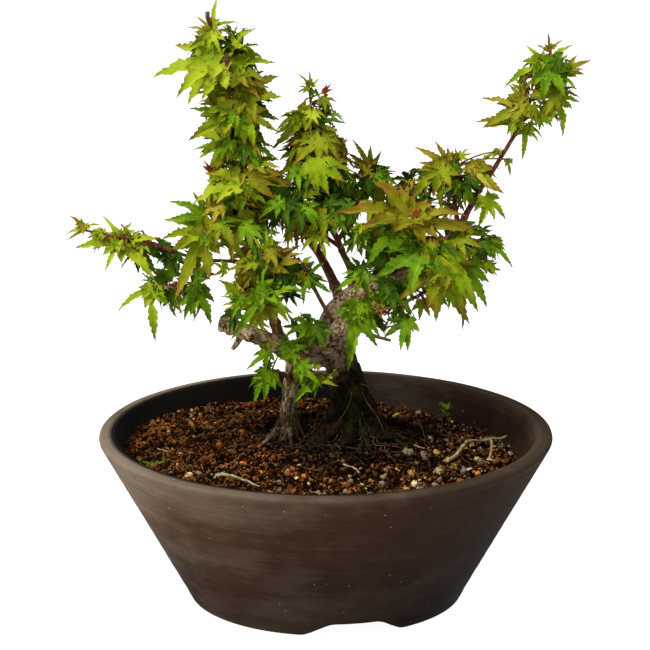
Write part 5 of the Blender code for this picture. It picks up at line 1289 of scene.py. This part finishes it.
def leaf_mesh(leaves):
    """One mesh of many leaves: each leaf's corners follow the shared shape, its tint is its finish."""
    count, size = len(leaves), len(LEAF_ROWS)
    faces = [[start + i for i in face] for start in range(0, count * size, size) for face in LEAF_FACES]
    mesh = bpy.data.meshes.new("mesh")
    mesh.from_pydata(np.concatenate([corners for corners, _ in leaves]).tolist(), [], faces)
    mesh.polygons.foreach_set("material_index", np.repeat([tint for _, tint in leaves], len(LEAF_FACES)))
    mesh.polygons.foreach_set("use_smooth", [True] * len(faces))
    layer = mesh.uv_layers.new(name="leaf")
    at = np.array([i % size for face in faces for i in face])
    layer.data.foreach_set("uv", LEAF_UVS[at].ravel())
    mesh.update()
    return mesh


REACH_SHARE = 0.98
GROUPS = {
    "left": ("left_leader", "left_heart", "left_reach_inner", "left_reach_tip"),
    "centre": ("centre_leader", "centre_low", "centre_tuft", "middle_spray", "fork_spray", "foot_spray",
               "low_spray"),
    "right": ("right_inner", "right_low", "right_outer", "right_wing", "right_tuft", "far_right"),
    "back": ("back_left", "back_centre", "back_right", "back_low"),
}
sprays = {name: Spray(name, number) for number, name in enumerate(MASSES)}
for spray in sprays.values():
    spray.hang_placed()
    spray.grow()
weed = np.array((0.0437, 0.0490, 0.0490))
seedling = []
for k in range(5):
    way = unit((math.cos(2.4 * k), math.sin(2.4 * k), 0.8))
    corners = leaf_corners(weed + (0, 0, 0.0009 * k), way, np.array((0, -0.5, 0.8)), 0.0026 + 0.0003 * k,
                           np.random.default_rng(60 + k), 0.2, 0.5)
    seedling.append((corners, TINTS.index("g")))
piece("weed_seedling", leaf_mesh(seedling), LEAF_FINISHES)
for group, names in GROUPS.items():
    piece("leaves_" + group, leaf_mesh([leaf for name in names for leaf in sprays[name].leaves]),
          LEAF_FINISHES, ["leaves_" + name for name in names])
piece("side_twigs", tube_mesh([tube for spray in sprays.values() for tube in spray.twigs]),
      [young_bark])
piece("leaf_stalks", tube_mesh([tube for spray in sprays.values() for tube in spray.stalks]),
      [make_stalk_finish()])
bud_shape = grain_shape("crumb")
buds = []
for spray in sprays.values():
    for point, way, size in spray.buds:
        side = unit(np.cross(way, (0.2, 0.9, 0.4)))
        turn = np.array((side, np.cross(way, side), way))
        points = (bud_shape[0] * (size * 1.3, size * 1.3, size * 2.4)) @ turn + point + way * size * 0.6
        buds.append((points, bud_shape[1], 0))
piece("leaf_buds", joined(buds), [make_bud_finish()])

# ================================================================ floor, lights and camera
# A plain white sweep under the bowl has its own even light, without the plant's shadow. The key lamp
# at the upper left and the top lamp light the plant alone; the camera stands in front, looking down.
floor_mesh = bmesh.new()
bmesh.ops.create_grid(floor_mesh, x_segments=1, y_segments=1, size=6.0)
floor = new_object("studio_floor", mesh_of(floor_mesh))
white_sweep = new_material("matt_white_sweep", Roughness=0.95, Base_Color=to_linear("#f4f4f4"))[0]
floor.data.materials.append(white_sweep)

world = bpy.data.worlds.new("studio")
bpy.context.scene.world = world
world.use_nodes = True
world.node_tree.nodes["Background"].inputs["Color"].default_value = to_linear("#ffffff")
world.node_tree.nodes["Background"].inputs["Strength"].default_value = 0.36


def hang_lamp(name, place, target, width, height, power):
    """A large soft lamp that points at the target."""
    lamp = bpy.data.lights.new(name, "AREA")
    lamp.shape, lamp.size, lamp.size_y, lamp.energy = "RECTANGLE", width, height, power
    made = new_object(name, lamp)
    made.location = place
    made.rotation_euler = (Vector(target) - Vector(place)).to_track_quat("-Z", "Y").to_euler()
    return made


def floor_only(state):
    """A collection that holds the floor, for a lamp to light it alone or to leave it out."""
    lit = bpy.data.collections.new("floor_" + state.lower())
    lit.objects.link(floor)
    lit.collection_objects[0].light_linking.link_state = state
    return lit


key_lamp = hang_lamp("key_lamp", (-2.2, -1.5, 2.4), (0.0, 0.0, 0.09), 0.8, 0.8, 105.0)
top_lamp = hang_lamp("top_lamp", (-0.4, -1.2, 6.0), (0.0, 0.0, 0.1), 3.0, 3.0, 300.0)
floor_lamp = hang_lamp("floor_lamp", (0.0, 0.0, 5.0), (0.0, 0.0, 0.0), 6.0, 6.0, 420.0)
for lamp in (key_lamp, top_lamp):
    lamp.light_linking.receiver_collection = floor_only("EXCLUDE")
floor_lamp.light_linking.receiver_collection = floor_only("INCLUDE")
floor_lamp.light_linking.blocker_collection = floor_only("INCLUDE")

bpy.context.scene.view_settings.view_transform = "Standard"
camera = bpy.data.cameras.new("camera")
camera.lens, camera.sensor_width = 160.8, 36.0
camera.clip_start, camera.clip_end = 0.05, 20.0
tripod = new_object("camera", camera)
tripod.location = (-0.0003, -0.96806, 0.34672)
tripod.rotation_euler = (math.radians(75.48), 0.0, 0.0)
bpy.context.scene.camera = tripod
